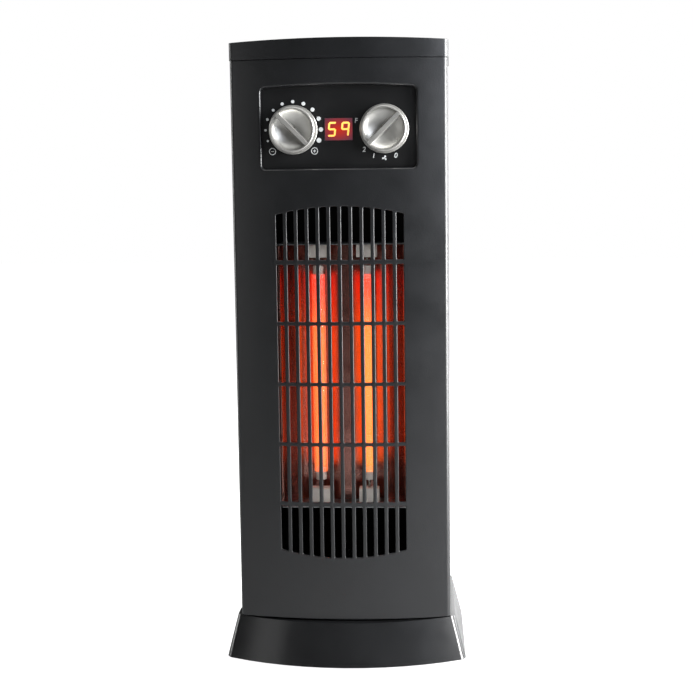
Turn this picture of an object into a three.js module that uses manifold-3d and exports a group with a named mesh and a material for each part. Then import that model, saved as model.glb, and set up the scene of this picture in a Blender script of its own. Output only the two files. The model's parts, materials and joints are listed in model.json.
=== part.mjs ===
// A free-standing infrared tower heater: a bowed front panel with a moulded grille, two quartz tubes in a
// polished reflector, a fan behind it, two rotary controls and a two-digit display, on a flared base.
// Millimetres, +Z up, -Y to the front. Depths are measured back from the side edges of the front panel,
// and the outer group centres the base on the Z axis.

import * as THREE from "three";
import { mergeVertices } from "three/addons/utils/BufferGeometryUtils.js";
import Module from "manifold-3d";

const wasm = await Module();
wasm.setup();

// ---- driving dimensions ------------------------------------------------------------------------------

const gap = 0.3; // between pieces that touch
const wall = 3; // moulded walls
const bite = 1; // how far a piece runs into the one it joins, or a cutter past what it cuts
const screwShort = 2; // how far a screw stops before the end of its hole

// Base: a flared skirt under a flat deck.
const baseSideMargin = 14.5; // of the skirt past each side of the body
const baseRearMargin = 15; // of the skirt's rear corners behind the body's
const baseFrontBow = 30; // of the skirt's front, from its corners to its middle
const baseRearBow = 7;
const baseRearTaper = 3; // how far each rear corner stands inside its front corner
const baseCorner = 9;
const baseFlare = 10; // how far the skirt leans in on its way up
const skirtLift = 1.5; // clear of the ground
const baseHeight = 41.2; // of the deck, above the ground
const shadowGap = 1.8; // between the deck and the body
const plinthInset = 6;

// Body: front panel and rear housing.
const bodyWidth = 198;
const bodyHeight = 517.4;
const bodySideDepth = 143;
const frontBow = 13.4;
const rearBow = 7;
const frontCorner = 5;
const rearCorner = 20;
const panelReturn = 20; // depth of the panel's own side walls
const tongueDepth = 7; // of the housing's lip inside the panel
const tongueWall = 1.8;
const tongueRoot = 4; // depth of the lip's root on the housing's side wall
const tongueClear = 2; // between the lip and what lies above or below it

// Top cap.
const capHeight = 15.6; // at its sides
const capCrown = 2.4;
const capOverhang = 0.6;
const capLip = 6; // that reaches down into the body
const capLipWall = 2;

// Control recess.
const controlsBelowTop = 62.8; // knob and display centres, below the top of the body
const recessRise = 37.3; // above the controls, at the recess's sides
const recessDrop = 35.2; // below the controls
const recessCrown = 2.2;
const recessCorner = 3.5;
const collarWall = 2.5;
const fasciaAhead = 5.5; // of the fascia's front face, ahead of the panel's wall at its corners
const fasciaThickness = 2.5;
const fasciaMargin = 4; // of the fascia behind the collar

// Knobs and what they turn.
const knobRadius = 22.2;
const knobToDisplay = 6.7; // between a knob's rim and the display
const knobToRecess = 6.65; // between a knob's rim and the side of the recess
const knobFlange = 2.2;
const knobDrum = 19.6; // radius of the turned drum above the flange
const knobDrumHeight = 7.5;
const knobHeight = 17;
const gripWidth = 9.5;
const knobStandoff = 0.6; // between knob and fascia
const shaftRadius = 3;
const shaftGrip = 9; // length of shaft inside the knob
const bushWall = 1.2; // of the threaded bush round a shaft
const bushSetBack = 0.4; // of the bush's end behind the fascia's face
const potRadius = 10;
const potDepth = 9;
const modeSwitchSize = 32;
const modeSwitchDepth = 20;

// Display.
const displayWidth = 25;
const displayHeight = 19.8;
const lensThickness = 2;
const displayDepth = 7;
const boardThickness = 1.6;
const boardHeight = 52;
const boardMargin = 6; // of the board past the potentiometer
const boardToSwitch = 3;

// Grille, moulded in the panel.
const slotColumns = 12;
const slotRows = 6;
const slotPitch = 10;
const slotWidth = 6.4;
const grilleBelowRecess = 41.5; // from the recess to the grille's upper corners
const grilleAboveFloor = 66.2; // from the body's bottom edge to the grille's lower corners
const grilleCrown = 7.4; // arch of its upper and lower edges
const endRowHeight = 43.4;
const barHeight = 3.2;
const endBarHeight = 4;

// Heating chamber.
const tubeSpacing = 45.6;
const tubeRadius = 6.3;
const tubeWall = 1.1;
const tubeDepth = 22;
const tubeEndBelow = 13; // of the upper tube ends, under the uppermost bar
const tubeEndAbove = 25; // of the lower tube ends, over the lowest bar
const coilClearance = 1.2; // radial, between a coil and its tube
const plugInset = 1.4; // of a plug's rim, inside the tube's outer face
const plugClearance = 0.7; // radial, between a plug's spigot and its tube
const plugHeight = 7.6;
const plugSpigot = 4; // of a plug inside its tube
const pinRadius = 1.3;
const pinLength = 8;
const blockWidth = 19;
const blockDepth = 13;
const upperBlockHeight = 11.8;
const lowerBlockHeight = 15.4;
const chamberHalfWidth = 57;
const sheet = 1; // sheet metal
const reflectorFront = 8; // depth of the reflector's front edges
const reflectorBack = 46; // depth of its two troughs
const ridgeFront = 38.5; // depth of the ridge between them
const ridgeHalfWidth = 7;
const troughCentre = 27;
const troughTurn = 6; // how far inside the chamber's side a trough's wall starts to turn forward
const flangeWidth = 2.6;
const plateDepth = 55;
const pinHoleClearance = 1;
const cutoutBelowPlate = 60; // of the thermal cut-out, below the upper end plate
const cutoutThickness = 6;
const cutoutTabLength = 6;
const cutoutTabWidth = 10;
const cutoutTabHeight = 3;

// Fan.
const fanHeight = 205; // of its axis, above the ground
const impellerRadius = 47;
const hubRadius = 14;
const hubLength = 16;
const bladeCount = 5;
const bladeThickness = 1.6;
const bladePitch = THREE.MathUtils.degToRad(32);
const bladeChord = 26;
const tipClearance = 3;
const hubSeat = 3; // depth of hub behind the end of the motor shaft
const bladeRoot = 2; // of a blade inside the hub
const shroudMargin = 6.5; // of the square plate past the ring
const shroudPlate = 2.5;
const shroudRing = 2.5; // wall of the ring
const shroudLength = 24;
const postLength = 18; // of the posts between the rear wall and the shroud
const postRadius = 4;
const postInset = 6; // of the posts from the sides of the plate
const impellerSetBack = 4; // of the impeller behind the plate's front face
const motorSize = 46;
const motorLength = 34;
const motorShoulder = 8; // of the round can past the square stack, at each end
const motorCanInset = 5;
const motorBoreDepth = 20;
const motorShaftRadius = 2.5;
const bearingClearance = 0.05; // radial, between the motor shaft and its bearing
const bracketThickness = 2;
const bracketWidth = 14;
const bracketBoreClearance = 1.5;
const intakeSlots = 13;
const intakePitch = 7.6;
const intakeSlotHeight = 4.2;
const intakeMargin = 2; // of the intake's circle past the impeller
const intakeRib = 4; // width of its middle rib

// Rear of the body.
const cupWidth = 96;
const cupHeight = 30;
const cupDepth = 26;
const cupWall = 2;
const cupFlange = 5;
const cupBelowTop = 48; // centre of the hand grip, below the top of the body
const glandRadius = 7;
const glandBore = 4.2;
const glandFlange = 9.5;
const glandFlangeThickness = 2.5;
const glandLength = 12;
const glandAboveFloor = 22;

// Fasteners.
const screwRadius = 1.9;
const screwHead = 3.8;
const screwHeadHeight = 2.4;
const wellClearance = 0.6; // round a screw head
const wellWall = 1.8;
const wellFloor = 3;
const bossRadius = 5;
const bossLength = 12;
const bossProud = 4; // of the panel's bosses behind its side walls
const screwInset = 15; // of the housing screws, from the sides of the body
const screwFromEnd = 24; // and from its ends
const baseScrewInset = 14;
const baseScrewFront = 12;
const baseScrewFromRear = 31; // in front of the body's rear corners

// Feet and the tip-over switch.
const footRadius = 9;
const footHeight = 4;
const footChamfer = 0.8;
const footSeat = 2; // depth of the pocket that holds a foot
const footPadWall = 2.5;
const footInset = 24; // from the skirt's sides
const footFront = 32;
const footFromRear = 20; // in front of the skirt's rear corners
const plungerRadius = 3;
const plungerFoot = 6.5;
const plungerFootHeight = 2;
const plungerClearance = 0.2; // radial, in the switch
const tipSwitchWidth = 24;
const tipSwitchHeight = 14;
const tipSwitchRoof = 3; // over the plunger's bore
const plungerHeadroom = 1.5; // between the plunger and the end of its bore
const springClearance = 0.7; // between the spring and the plunger
const springWire = 0.7;
const springTurns = 5;

// Wiring.
const wireRadius = 1.6;
const terminalLength = 44;
const terminalDepth = 16;
const terminalHeight = 9;
const terminalStep = 4; // of the raised middle inside the block's front and back
const terminalEnd = 1; // and inside its ends
const terminalMiddle = 6; // height of the raised middle over the block
const terminalX = 34; // of its left end
const terminalFront = 84;
const terminalLift = 4; // over the body's bottom edge

// ---- derived places ----------------------------------------------------------------------------------

const baseWidth = bodyWidth + 2 * baseSideMargin;
const baseSideDepth = bodySideDepth + baseRearMargin;
const footRear = baseSideDepth - footFromRear;
const baseScrewRear = bodySideDepth - baseScrewFromRear;
const bodyBottom = baseHeight + shadowGap;
const bodyTop = bodyBottom + bodyHeight;
const bodyMid = (bodyBottom + bodyTop) / 2;
const knobSpacing = displayWidth + 2 * (knobToDisplay + knobRadius);
const recessWidth = knobSpacing + 2 * (knobRadius + knobToRecess);
const bushRadius = shaftRadius + gap + bushWall;
const controlsZ = bodyTop - controlsBelowTop;
const recessBottom = controlsZ - recessDrop;
const recessTop = controlsZ + recessRise;
const grilleTop = recessBottom - grilleBelowRecess;
const grilleBottom = bodyBottom + grilleAboveFloor;
const firstBar = grilleBottom + endRowHeight;
const lastBar = grilleTop - endRowHeight;
const barPitch = (lastBar - firstBar) / (slotRows - 2);
const grilleWidth = (slotColumns - 1) * slotPitch + slotWidth;

const fasciaDepth = wall - fasciaAhead;
const knobBack = fasciaDepth - knobStandoff;
const fasciaBack = fasciaDepth + fasciaThickness;
const tubeBore = tubeRadius - tubeWall;
const plugRadius = tubeRadius - plugInset;
const tubeTop = lastBar - tubeEndBelow;
const tubeBottom = firstBar + tubeEndAbove;
const upperBlockBottom = tubeTop + gap + plugHeight + pinLength;
const upperBlockTop = upperBlockBottom + upperBlockHeight;
const lowerBlockTop = tubeBottom - gap - plugHeight - pinLength;
const lowerBlockBottom = lowerBlockTop - lowerBlockHeight;
const upperPlateZ = upperBlockTop + gap;
const lowerPlateZ = lowerBlockBottom - gap - sheet;

const bodyRear = bodySideDepth + rearBow;
const ringInner = impellerRadius + tipClearance;
const ringOuter = ringInner + shroudRing;
const shroudSize = 2 * (ringOuter + shroudMargin);
const intakeRadius = impellerRadius + intakeMargin;
const shroudFront = bodyRear - wall - shroudPlate - postLength;
const impellerBack = shroudFront + impellerSetBack;
const impellerFront = impellerBack - hubLength;
const ringFront = impellerBack - shroudLength;
const bracketBack = ringFront - gap;
const motorBack = bracketBack - bracketThickness - gap;
const motorFront = motorBack - motorLength;

const wellRadius = screwHead + wellClearance;
const bossBack = panelReturn + bossProud;
const springRadius = plungerRadius + springClearance + springWire; // of the spring's centreline

const baseFront = -baseFrontBow;
const baseRear = baseSideDepth + baseRearBow;

// ---- shape helpers -----------------------------------------------------------------------------------

const v2 = (x, y) => new THREE.Vector2(x, y);

// Points on a circular arc from one angle to another.
function arcPoints(cx, cy, radius, from, to, steps) {
  const points = [];
  for (let i = 0; i <= steps; i++) {
    const a = from + ((to - from) * i) / steps;
    points.push(v2(cx + radius * Math.cos(a), cy + radius * Math.sin(a)));
  }
  return points;
}

const bowSteps = 12; // facets across a bowed front; a rear has fewer, being flatter
const rearSteps = 8;
const cornerSteps = 3;
const leastCorner = 0.8; // that is left of a corner when its outline moves inwards

const bowRadius = (chord, bow) => (chord * chord) / (8 * bow) + bow / 2;

// One bowed end with rounded corners, in plan, from +X round to -X. `side` is -1 at the front, where the
// bow reaches towards -Y, and 1 at the rear. `inset` moves the whole outline inwards.
function bowedEnd(width, edge, bow, corner, side, inset, steps) {
  const radius = bowRadius(width, bow);
  const centre = edge + side * (bow - radius);
  const half = width / 2 - inset;
  const r = Math.max(corner - inset, leastCorner);
  const cornerX = half - r;
  const cornerReach = Math.sqrt((radius - inset - r) ** 2 - cornerX ** 2);
  const cornerY = centre + side * cornerReach;
  const tilt = Math.atan2(cornerReach, cornerX);
  const right = arcPoints(cornerX, cornerY, r, 0, side * tilt, cornerSteps);
  const bowed = arcPoints(0, centre, radius - inset, side * tilt, side * (Math.PI - tilt), steps);
  const left = arcPoints(-cornerX, cornerY, r, side * (Math.PI - tilt), side * Math.PI, cornerSteps);
  return [...right, ...bowed.slice(1, -1), ...left];
}

// The body's outline in plan, moved inwards by `inset`.
function bodyOutline(inset) {
  const front = bowedEnd(bodyWidth, 0, frontBow, frontCorner, -1, inset, bowSteps);
  const rear = bowedEnd(bodyWidth, bodySideDepth, rearBow, rearCorner, 1, inset, rearSteps);
  return [...rear, ...front.reverse()];
}

// The skirt's outline in plan where it meets the ground.
function baseOutline(inset) {
  const rearWidth = baseWidth - 2 * baseRearTaper;
  const front = bowedEnd(baseWidth, 0, baseFrontBow, baseCorner, -1, inset, bowSteps);
  const rear = bowedEnd(rearWidth, baseSideDepth, baseRearBow, baseCorner, 1, inset, rearSteps);
  return [...rear, ...front.reverse()];
}

// A prism on an outline in plan, from one height to another.
function prismZ(points, low, high, holes = []) {
  const shape = new THREE.Shape(points);
  for (const hole of holes) shape.holes.push(new THREE.Path(hole));
  const geometry = new THREE.ExtrudeGeometry(shape, { depth: high - low, bevelEnabled: false });
  return geometry.translate(0, 0, low);
}

// A prism on an outline in the XZ plane, from one depth to another.
function prismY(points, front, back) {
  const shape = points instanceof THREE.Shape ? points : new THREE.Shape(points);
  const options = { depth: back - front, bevelEnabled: false, curveSegments: 6 };
  return new THREE.ExtrudeGeometry(shape, options).rotateX(Math.PI / 2).translate(0, back, 0);
}

function box(x0, x1, y0, y1, z0, z1) {
  const geometry = new THREE.BoxGeometry(x1 - x0, y1 - y0, z1 - z0);
  return geometry.translate((x0 + x1) / 2, (y0 + y1) / 2, (z0 + z1) / 2);
}

// A cylinder along Z between two heights.
function rodZ(x, y, radius, low, high, sides = 20) {
  const geometry = new THREE.CylinderGeometry(radius, radius, high - low, sides);
  return geometry.rotateX(Math.PI / 2).translate(x, y, (low + high) / 2);
}

// A cylinder along Y between two depths.
function rodY(x, z, radius, front, back, sides = 20) {
  const geometry = new THREE.CylinderGeometry(radius, radius, back - front, sides);
  return geometry.translate(x, (front + back) / 2, z);
}

// A turned piece: [radius, height] pairs from the axis round to the axis, turned about Z.
function turned(profile, sides = 24) {
  const geometry = new THREE.LatheGeometry(profile.map(([r, h]) => v2(r, h)), sides);
  return geometry.rotateX(Math.PI / 2);
}

// The same, with its axis along Y and its heights running towards the front.
const turnedToFront = (profile, sides) => turned(profile, sides).rotateX(Math.PI / 2);

const circle = (x, y, radius, sides = 20) =>
  arcPoints(x, y, radius, 0, 2 * Math.PI, sides).slice(0, -1);

// ---- solids ------------------------------------------------------------------------------------------

function solid(geometry) {
  const bare = geometry.clone();
  bare.deleteAttribute("normal");
  bare.deleteAttribute("uv");
  const merged = mergeVertices(bare, 1e-4);
  const vertProperties = new Float32Array(merged.attributes.position.array);
  const triVerts = new Uint32Array(merged.index.array);
  return new wasm.Manifold(new wasm.Mesh({ numProp: 3, vertProperties, triVerts }));
}

const join = (...pieces) => pieces.map(asSolid).reduce((a, b) => a.add(b));
const cut = (piece, ...tools) => tools.map(asSolid).reduce((a, b) => a.subtract(b), asSolid(piece));
const common = (a, b) => asSolid(a).intersect(asSolid(b));

function asSolid(piece) {
  return piece.isBufferGeometry ? solid(piece) : piece;
}

function geometryOf(piece) {
  if (piece.isBufferGeometry) return piece;
  const mesh = piece.getMesh();
  const positions = new Float32Array(mesh.numVert * 3);
  for (let i = 0; i < mesh.numVert; i++) {
    const start = i * mesh.numProp;
    positions.set(mesh.vertProperties.subarray(start, start + 3), i * 3);
  }
  const geometry = new THREE.BufferGeometry();
  geometry.setAttribute("position", new THREE.BufferAttribute(positions, 3));
  geometry.setIndex(new THREE.BufferAttribute(new Uint32Array(mesh.triVerts), 1));
  geometry.computeVertexNormals();
  return geometry;
}

// ---- finishes ----------------------------------------------------------------------------------------

const finish = (color, roughness, metalness = 0) => ({ color, roughness, metalness });
const finishes = {
  casing: finish(0x26292b, 0.45),
  fascia: finish(0x1d1e20, 0.6),
  gloss: finish(0x1b1e20, 0.25),
  silver: finish(0xb9b7b2, 0.35, 0.8),
  polished: finish(0xd8d8d8, 0.12, 1),
  steel: finish(0x9a9c9e, 0.4, 1),
  zinc: finish(0x8b8e90, 0.45, 1),
  ceramic: finish(0xcfcabf, 0.7),
  quartz: finish(0xff6a30, 0.1),
  coil: finish(0xff8a20, 0.6),
  lens: finish(0x5a1420, 0.15),
  board: finish(0x1f5a34, 0.5),
  rubber: finish(0x17181a, 0.9),
  fan: finish(0x2e3032, 0.5),
  wire: finish(0xd8d4c8, 0.6),
};

const heater = new THREE.Group();
const frame = new THREE.Group();
frame.position.y = -(baseFront + baseRear) / 2;
heater.add(frame);

function place(name, piece, look, parent = frame) {
  const mesh = new THREE.Mesh(geometryOf(piece), new THREE.MeshStandardMaterial(finishes[look]));
  mesh.name = name;
  parent.add(mesh);
  return mesh;
}

// ---- base --------------------------------------------------------------------------------------------

// Leans the sides of an upright prism in by `flare` between two heights.
function leanIn(geometry, low, high, flare) {
  const midY = (baseFront + baseRear) / 2;
  const across = 1 - (2 * flare) / baseWidth;
  const along = 1 - (2 * flare) / (baseRear - baseFront);
  const position = geometry.attributes.position;
  for (let i = 0; i < position.count; i++) {
    const t = (position.getZ(i) - low) / (high - low);
    position.setX(i, position.getX(i) * (1 + (across - 1) * t));
    position.setY(i, midY + (position.getY(i) - midY) * (1 + (along - 1) * t));
  }
  return geometry;
}

const footPlaces = [
  ["foot_front_left", -1, footFront],
  ["foot_front_right", 1, footFront],
  ["foot_rear_left", -1, footRear],
  ["foot_rear_right", 1, footRear],
];
const footX = baseWidth / 2 - footInset;
const baseScrewX = bodyWidth / 2 - baseScrewInset;
const baseScrewPlaces = [
  ["base_screw_front_left", -1, baseScrewFront],
  ["base_screw_front_right", 1, baseScrewFront],
  ["base_screw_rear_left", -1, baseScrewRear],
  ["base_screw_rear_right", 1, baseScrewRear],
];
const tipSwitchY = bodySideDepth / 2;
const deckBottom = baseHeight - wall;

function makeBase() {
  const flared = leanIn(prismZ(baseOutline(0), skirtLift, baseHeight), skirtLift, baseHeight, baseFlare);
  const hollow = leanIn(prismZ(baseOutline(wall), 0, deckBottom), 0, baseHeight, baseFlare);
  const plinth = prismZ(bodyOutline(plinthInset), deckBottom + bite, bodyBottom - gap);
  let base = join(cut(flared, hollow), plinth);
  const padBottom = footHeight - footSeat;
  for (const [, side, y] of footPlaces) {
    const pad = rodZ(side * footX, y, footRadius + footPadWall, padBottom, deckBottom + bite, 24);
    const pocket = rodZ(side * footX, y, footRadius + gap, padBottom - bite, footHeight + gap, 24);
    base = cut(join(base, pad), pocket);
  }
  for (const [, side, y] of baseScrewPlaces) {
    const hole = rodZ(side * baseScrewX, y, screwRadius + gap, deckBottom - bite, bodyBottom + bite, 12);
    base = cut(base, hole);
  }
  return base;
}

function makeFoot(side, y) {
  const profile = [
    [0, 0],
    [footRadius - footChamfer, 0],
    [footRadius, footChamfer],
    [footRadius, footHeight],
    [0, footHeight],
  ];
  return turned(profile, 16).translate(side * footX, y, 0);
}

// A screw that points up: a pan head under a plain shank.
function screwProfile(length) {
  return [
    [0, 0],
    [screwHead, 0],
    [screwHead, screwHeadHeight],
    [screwRadius, screwHeadHeight],
    [screwRadius, screwHeadHeight + length],
    [0, screwHeadHeight + length],
  ];
}

place("base", makeBase(), "gloss");
for (const [name, side, y] of footPlaces) place(name, makeFoot(side, y), "rubber");
for (const [name, side, y] of baseScrewPlaces) {
  const length = bodyBottom - deckBottom + bossLength - screwShort;
  const screw = turned(screwProfile(length), 10);
  screw.translate(side * baseScrewX, y, deckBottom - gap - screwHeadHeight);
  place(name, screw, "zinc");
}

// ---- front panel -------------------------------------------------------------------------------------

const frontOuter = bowedEnd(bodyWidth, 0, frontBow, frontCorner, -1, 0, bowSteps);
const frontInner = bowedEnd(bodyWidth, 0, frontBow, frontCorner, -1, wall, bowSteps);
const half = bodyWidth / 2;

// A region between two chords, crowned by an arch above and an equal one below where `lowerCrown` is set.
function archedRegion(width, low, high, upperCrown, lowerCrown, corner) {
  const x = width / 2;
  const top = arcOnChord(x, high, upperCrown, 1);
  const bottom = lowerCrown ? arcOnChord(x, low, lowerCrown, -1) : roundedFoot(x, low, corner);
  return [...(corner ? roundedShoulders(top, corner) : top), ...bottom];
}

function arcOnChord(x, z, crown, side) {
  const radius = bowRadius(2 * x, crown);
  const start = Math.acos(x / radius);
  return arcPoints(0, z + side * (crown - radius), radius, side * start, side * (Math.PI - start), bowSteps)
    .sort((a, b) => side * (b.x - a.x));
}

function roundedShoulders(top, corner) {
  const right = top[0];
  const left = top[top.length - 1];
  return [
    ...arcPoints(right.x - corner, right.y - corner, corner, 0, Math.PI / 2, cornerSteps),
    ...top.filter((p) => Math.abs(p.x) < right.x - corner),
    ...arcPoints(left.x + corner, left.y - corner, corner, Math.PI / 2, Math.PI, cornerSteps),
  ];
}

function roundedFoot(x, low, corner) {
  return [
    ...arcPoints(-x + corner, low + corner, corner, Math.PI, 1.5 * Math.PI, cornerSteps),
    ...arcPoints(x - corner, low + corner, corner, 1.5 * Math.PI, 2 * Math.PI, cornerSteps),
  ];
}

const recessOutline = (grow) =>
  archedRegion(
    recessWidth + 2 * grow,
    recessBottom - grow,
    recessTop + grow,
    recessCrown,
    0,
    recessCorner + grow,
  );

const cutterFront = -frontBow - bite; // a cutter that opens the front wall runs from here
const cutterBack = wall + bite; // to here

function makeGrilleCutter() {
  const front = cutterFront;
  const back = cutterBack;
  const low = grilleBottom - grilleCrown - bite;
  const high = grilleTop + grilleCrown + bite;
  let slots = null;
  for (let column = 0; column < slotColumns; column++) {
    const x = (column - (slotColumns - 1) / 2) * slotPitch;
    const slot = box(x - slotWidth / 2, x + slotWidth / 2, front, back, low, high);
    slots = slots ? join(slots, slot) : asSolid(slot);
  }
  const region = archedRegion(grilleWidth + 2 * bite, grilleBottom, grilleTop, grilleCrown, grilleCrown, 0);
  slots = common(slots, prismY(region, front, back));
  for (let bar = 0; bar < slotRows - 1; bar++) {
    const z = firstBar + bar * barPitch;
    const height = bar === 0 || bar === slotRows - 2 ? endBarHeight : barHeight;
    slots = cut(slots, box(-half, half, front, back, z - height / 2, z + height / 2));
  }
  return slots;
}

const housingScrewX = half - screwInset;
const housingScrewPlaces = [
  ["housing_screw_lower_left", -1, bodyBottom + screwFromEnd],
  ["housing_screw_lower_right", 1, bodyBottom + screwFromEnd],
  ["housing_screw_upper_left", -1, bodyTop - screwFromEnd],
  ["housing_screw_upper_right", 1, bodyTop - screwFromEnd],
];
function makeFrontPanel() {
  const shell = [...frontOuter, v2(-half, panelReturn), v2(-half + wall, panelReturn)];
  shell.push(...frontInner.slice().reverse(), v2(half - wall, panelReturn), v2(half, panelReturn));
  let panel = asSolid(prismZ(shell, bodyBottom, bodyTop));
  const within = prismZ([...frontOuter, v2(-half, panelReturn), v2(half, panelReturn)], bodyBottom, bodyTop);
  const collar = prismY(recessOutline(collarWall), cutterFront, fasciaDepth - gap);
  const bossFront = frontWallInner(housingScrewX) - wall / 2;
  const bosses = housingScrewPlaces.map(([, side, z]) =>
    rodY(side * housingScrewX, z, bossRadius, bossFront, bossBack, 16),
  );
  const corners = baseScrewPlaces
    .filter(([, , y]) => y < panelReturn)
    .map(([, side, y]) => cornerBoss(side, y));
  panel = join(panel, common(collar, within), ...bosses, ...corners);
  const holes = housingScrewPlaces.map(([, side, z]) =>
    rodY(side * housingScrewX, z, screwRadius + gap, bossBack - bossLength, bossBack + bite, 12),
  );
  const recess = prismY(recessOutline(0), cutterFront - bite, cutterBack);
  return cut(panel, makeGrilleCutter(), recess, ...holes, ...baseScrewHoles());
}

// Depth of the front wall's inner face at a place across the body.
function frontWallInner(x) {
  const radius = bowRadius(bodyWidth, frontBow);
  return radius - frontBow - Math.sqrt((radius - wall) ** 2 - x * x);
}

// The holes that the base screws run into, in the panel and in the rear housing.
function baseScrewHoles() {
  return baseScrewPlaces.map(([, side, y]) =>
    rodZ(side * baseScrewX, y, screwRadius + gap, bodyBottom - bite, bodyBottom + bossLength, 12),
  );
}

// A block at the foot of a side wall that takes a base screw.
function cornerBoss(side, y) {
  const outer = side * (half - wall / 2);
  const inner = side * (baseScrewX - bossRadius);
  const x0 = Math.min(outer, inner);
  const x1 = Math.max(outer, inner);
  return box(x0, x1, y - bossRadius, y + bossRadius, bodyBottom, bodyBottom + bossLength + screwShort);
}

place("front_panel", makeFrontPanel(), "casing");

// ---- rear housing ------------------------------------------------------------------------------------

const housingFront = panelReturn + gap;
const cupZ = bodyTop - cupBelowTop;
const glandZ = bodyBottom + glandAboveFloor;

// Depth of the rear wall's inner face at a place across the body.
function rearWallInner(x) {
  const radius = bowRadius(bodyWidth, rearBow);
  return bodySideDepth + rearBow - radius + Math.sqrt((radius - wall) ** 2 - x * x);
}

const postPlaces = [
  [-1, -1],
  [1, -1],
  [-1, 1],
  [1, 1],
];
const postOffset = shroudSize / 2 - postInset;

function makeRearHousing() {
  const outer = bowedEnd(bodyWidth, bodySideDepth, rearBow, rearCorner, 1, 0, rearSteps);
  const inner = bowedEnd(bodyWidth, bodySideDepth, rearBow, rearCorner, 1, wall, rearSteps);
  const shell = [...outer, v2(-half, housingFront), v2(-half + wall, housingFront)];
  shell.push(...inner.slice().reverse(), v2(half - wall, housingFront), v2(half, housingFront));
  const within = prismZ(bodyOutline(wall / 2), bodyBottom, bodyTop);
  const wells = housingScrewPlaces.map(([, side, z]) =>
    common(rodY(side * housingScrewX, z, wellRadius + wellWall, bossBack + gap, bodyRear, 16), within),
  );
  const posts = postPlaces.map(([sx, sz]) =>
    rodY(sx * postOffset, fanHeight + sz * postOffset, postRadius, shroudFront + shroudPlate + gap,
      rearWallInner(postOffset) + bite, 12),
  );
  const corners = baseScrewPlaces
    .filter(([, , y]) => y >= panelReturn)
    .map(([, side, y]) => cornerBoss(side, y));
  const shellSolid = prismZ(shell, bodyBottom, bodyTop);
  let housing = join(shellSolid, makeTongue(-1), makeTongue(1), ...wells, ...posts, ...corners);
  for (const [, side, z] of housingScrewPlaces) {
    const x = side * housingScrewX;
    housing = cut(housing, rodY(x, z, wellRadius, bossBack + gap + wellFloor, bodyRear + bite, 16),
      rodY(x, z, screwRadius + gap, bossBack - bite, bodyRear, 12));
  }
  const cupHole = box(-cupWidth / 2 - gap, cupWidth / 2 + gap, bodySideDepth - 2 * wall, bodyRear + bite,
    cupZ - cupHeight / 2 - gap, cupZ + cupHeight / 2 + gap);
  const glandHole = rodY(0, glandZ, glandRadius + gap, bodySideDepth, bodyRear + bite);
  return cut(housing, makeIntakeCutter(), cupHole, glandHole, ...baseScrewHoles());
}

// The lip along the front edge of one side wall, that stands inside the panel.
function makeTongue(side) {
  const outer = side * (half - wall - gap);
  const inner = side * (half - wall - gap - tongueWall);
  const lug = side * (half - wall / 2);
  const back = housingFront + tongueRoot;
  const low = bodyBottom + bossLength + screwShort + tongueClear;
  const high = bodyTop - capLip - tongueClear;
  const lip = box(Math.min(outer, inner), Math.max(outer, inner), panelReturn - tongueDepth, back, low, high);
  const root = box(Math.min(inner, lug), Math.max(inner, lug), housingFront, back, low, high);
  return join(lip, root);
}

// Horizontal intake slots inside a circle, split by a middle rib.
function makeIntakeCutter() {
  const front = bodySideDepth - 2 * wall;
  const back = bodyRear + bite;
  const disc = rodY(0, fanHeight, intakeRadius, front, back, 32);
  let slots = null;
  for (let i = 0; i < intakeSlots; i++) {
    const z = fanHeight + (i - (intakeSlots - 1) / 2) * intakePitch;
    const slot = box(-half, half, front, back, z - intakeSlotHeight / 2, z + intakeSlotHeight / 2);
    slots = slots ? join(slots, slot) : asSolid(slot);
  }
  const rib = box(-intakeRib / 2, intakeRib / 2, front - bite, back + bite, bodyBottom, bodyTop);
  return cut(common(slots, disc), rib);
}

place("rear_housing", makeRearHousing(), "casing");

for (const [name, side, z] of housingScrewPlaces) {
  const seat = bossBack + gap + wellFloor + gap;
  const length = seat - bossBack + bossLength - screwShort;
  const screw = turnedToFront(screwProfile(length), 10);
  screw.translate(side * housingScrewX, seat + screwHeadHeight, z);
  place(name, screw, "zinc");
}

// The hand grip: a cup let into the rear wall, with a flange outside that follows the wall's bow.
function makeHandleCup() {
  const x = cupWidth / 2;
  const z = cupHeight / 2;
  const mouth = bodyRear + gap;
  const body = box(-x, x, mouth - cupDepth, mouth + cupWall, cupZ - z, cupZ + z);
  const flangeFront = rearWallInner(x + cupFlange);
  const flange = box(-x - cupFlange, x + cupFlange, flangeFront, mouth + cupWall, cupZ - z - cupFlange,
    cupZ + z + cupFlange);
  const seated = cut(flange, prismZ(bodyOutline(-gap), bodyBottom, bodyTop));
  const hollow = box(-x + cupWall, x - cupWall, mouth - cupDepth + cupWall, mouth + cupWall + bite,
    cupZ - z + cupWall, cupZ + z - cupWall);
  return cut(join(body, seated), hollow);
}

// The cord inlet: a flanged bush in the rear wall.
function makeCordGland() {
  const back = bodyRear + gap + glandFlangeThickness;
  const profile = [
    [glandBore, 0],
    [glandFlange, 0],
    [glandFlange, glandFlangeThickness],
    [glandRadius, glandFlangeThickness],
    [glandRadius, glandLength],
    [glandBore, glandLength],
    [glandBore, 0],
  ];
  return turnedToFront(profile, 20).translate(0, back, glandZ);
}

place("handle_cup", makeHandleCup(), "fascia");
place("cord_inlet_gland", makeCordGland(), "rubber");

// ---- top cap -----------------------------------------------------------------------------------------

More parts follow.
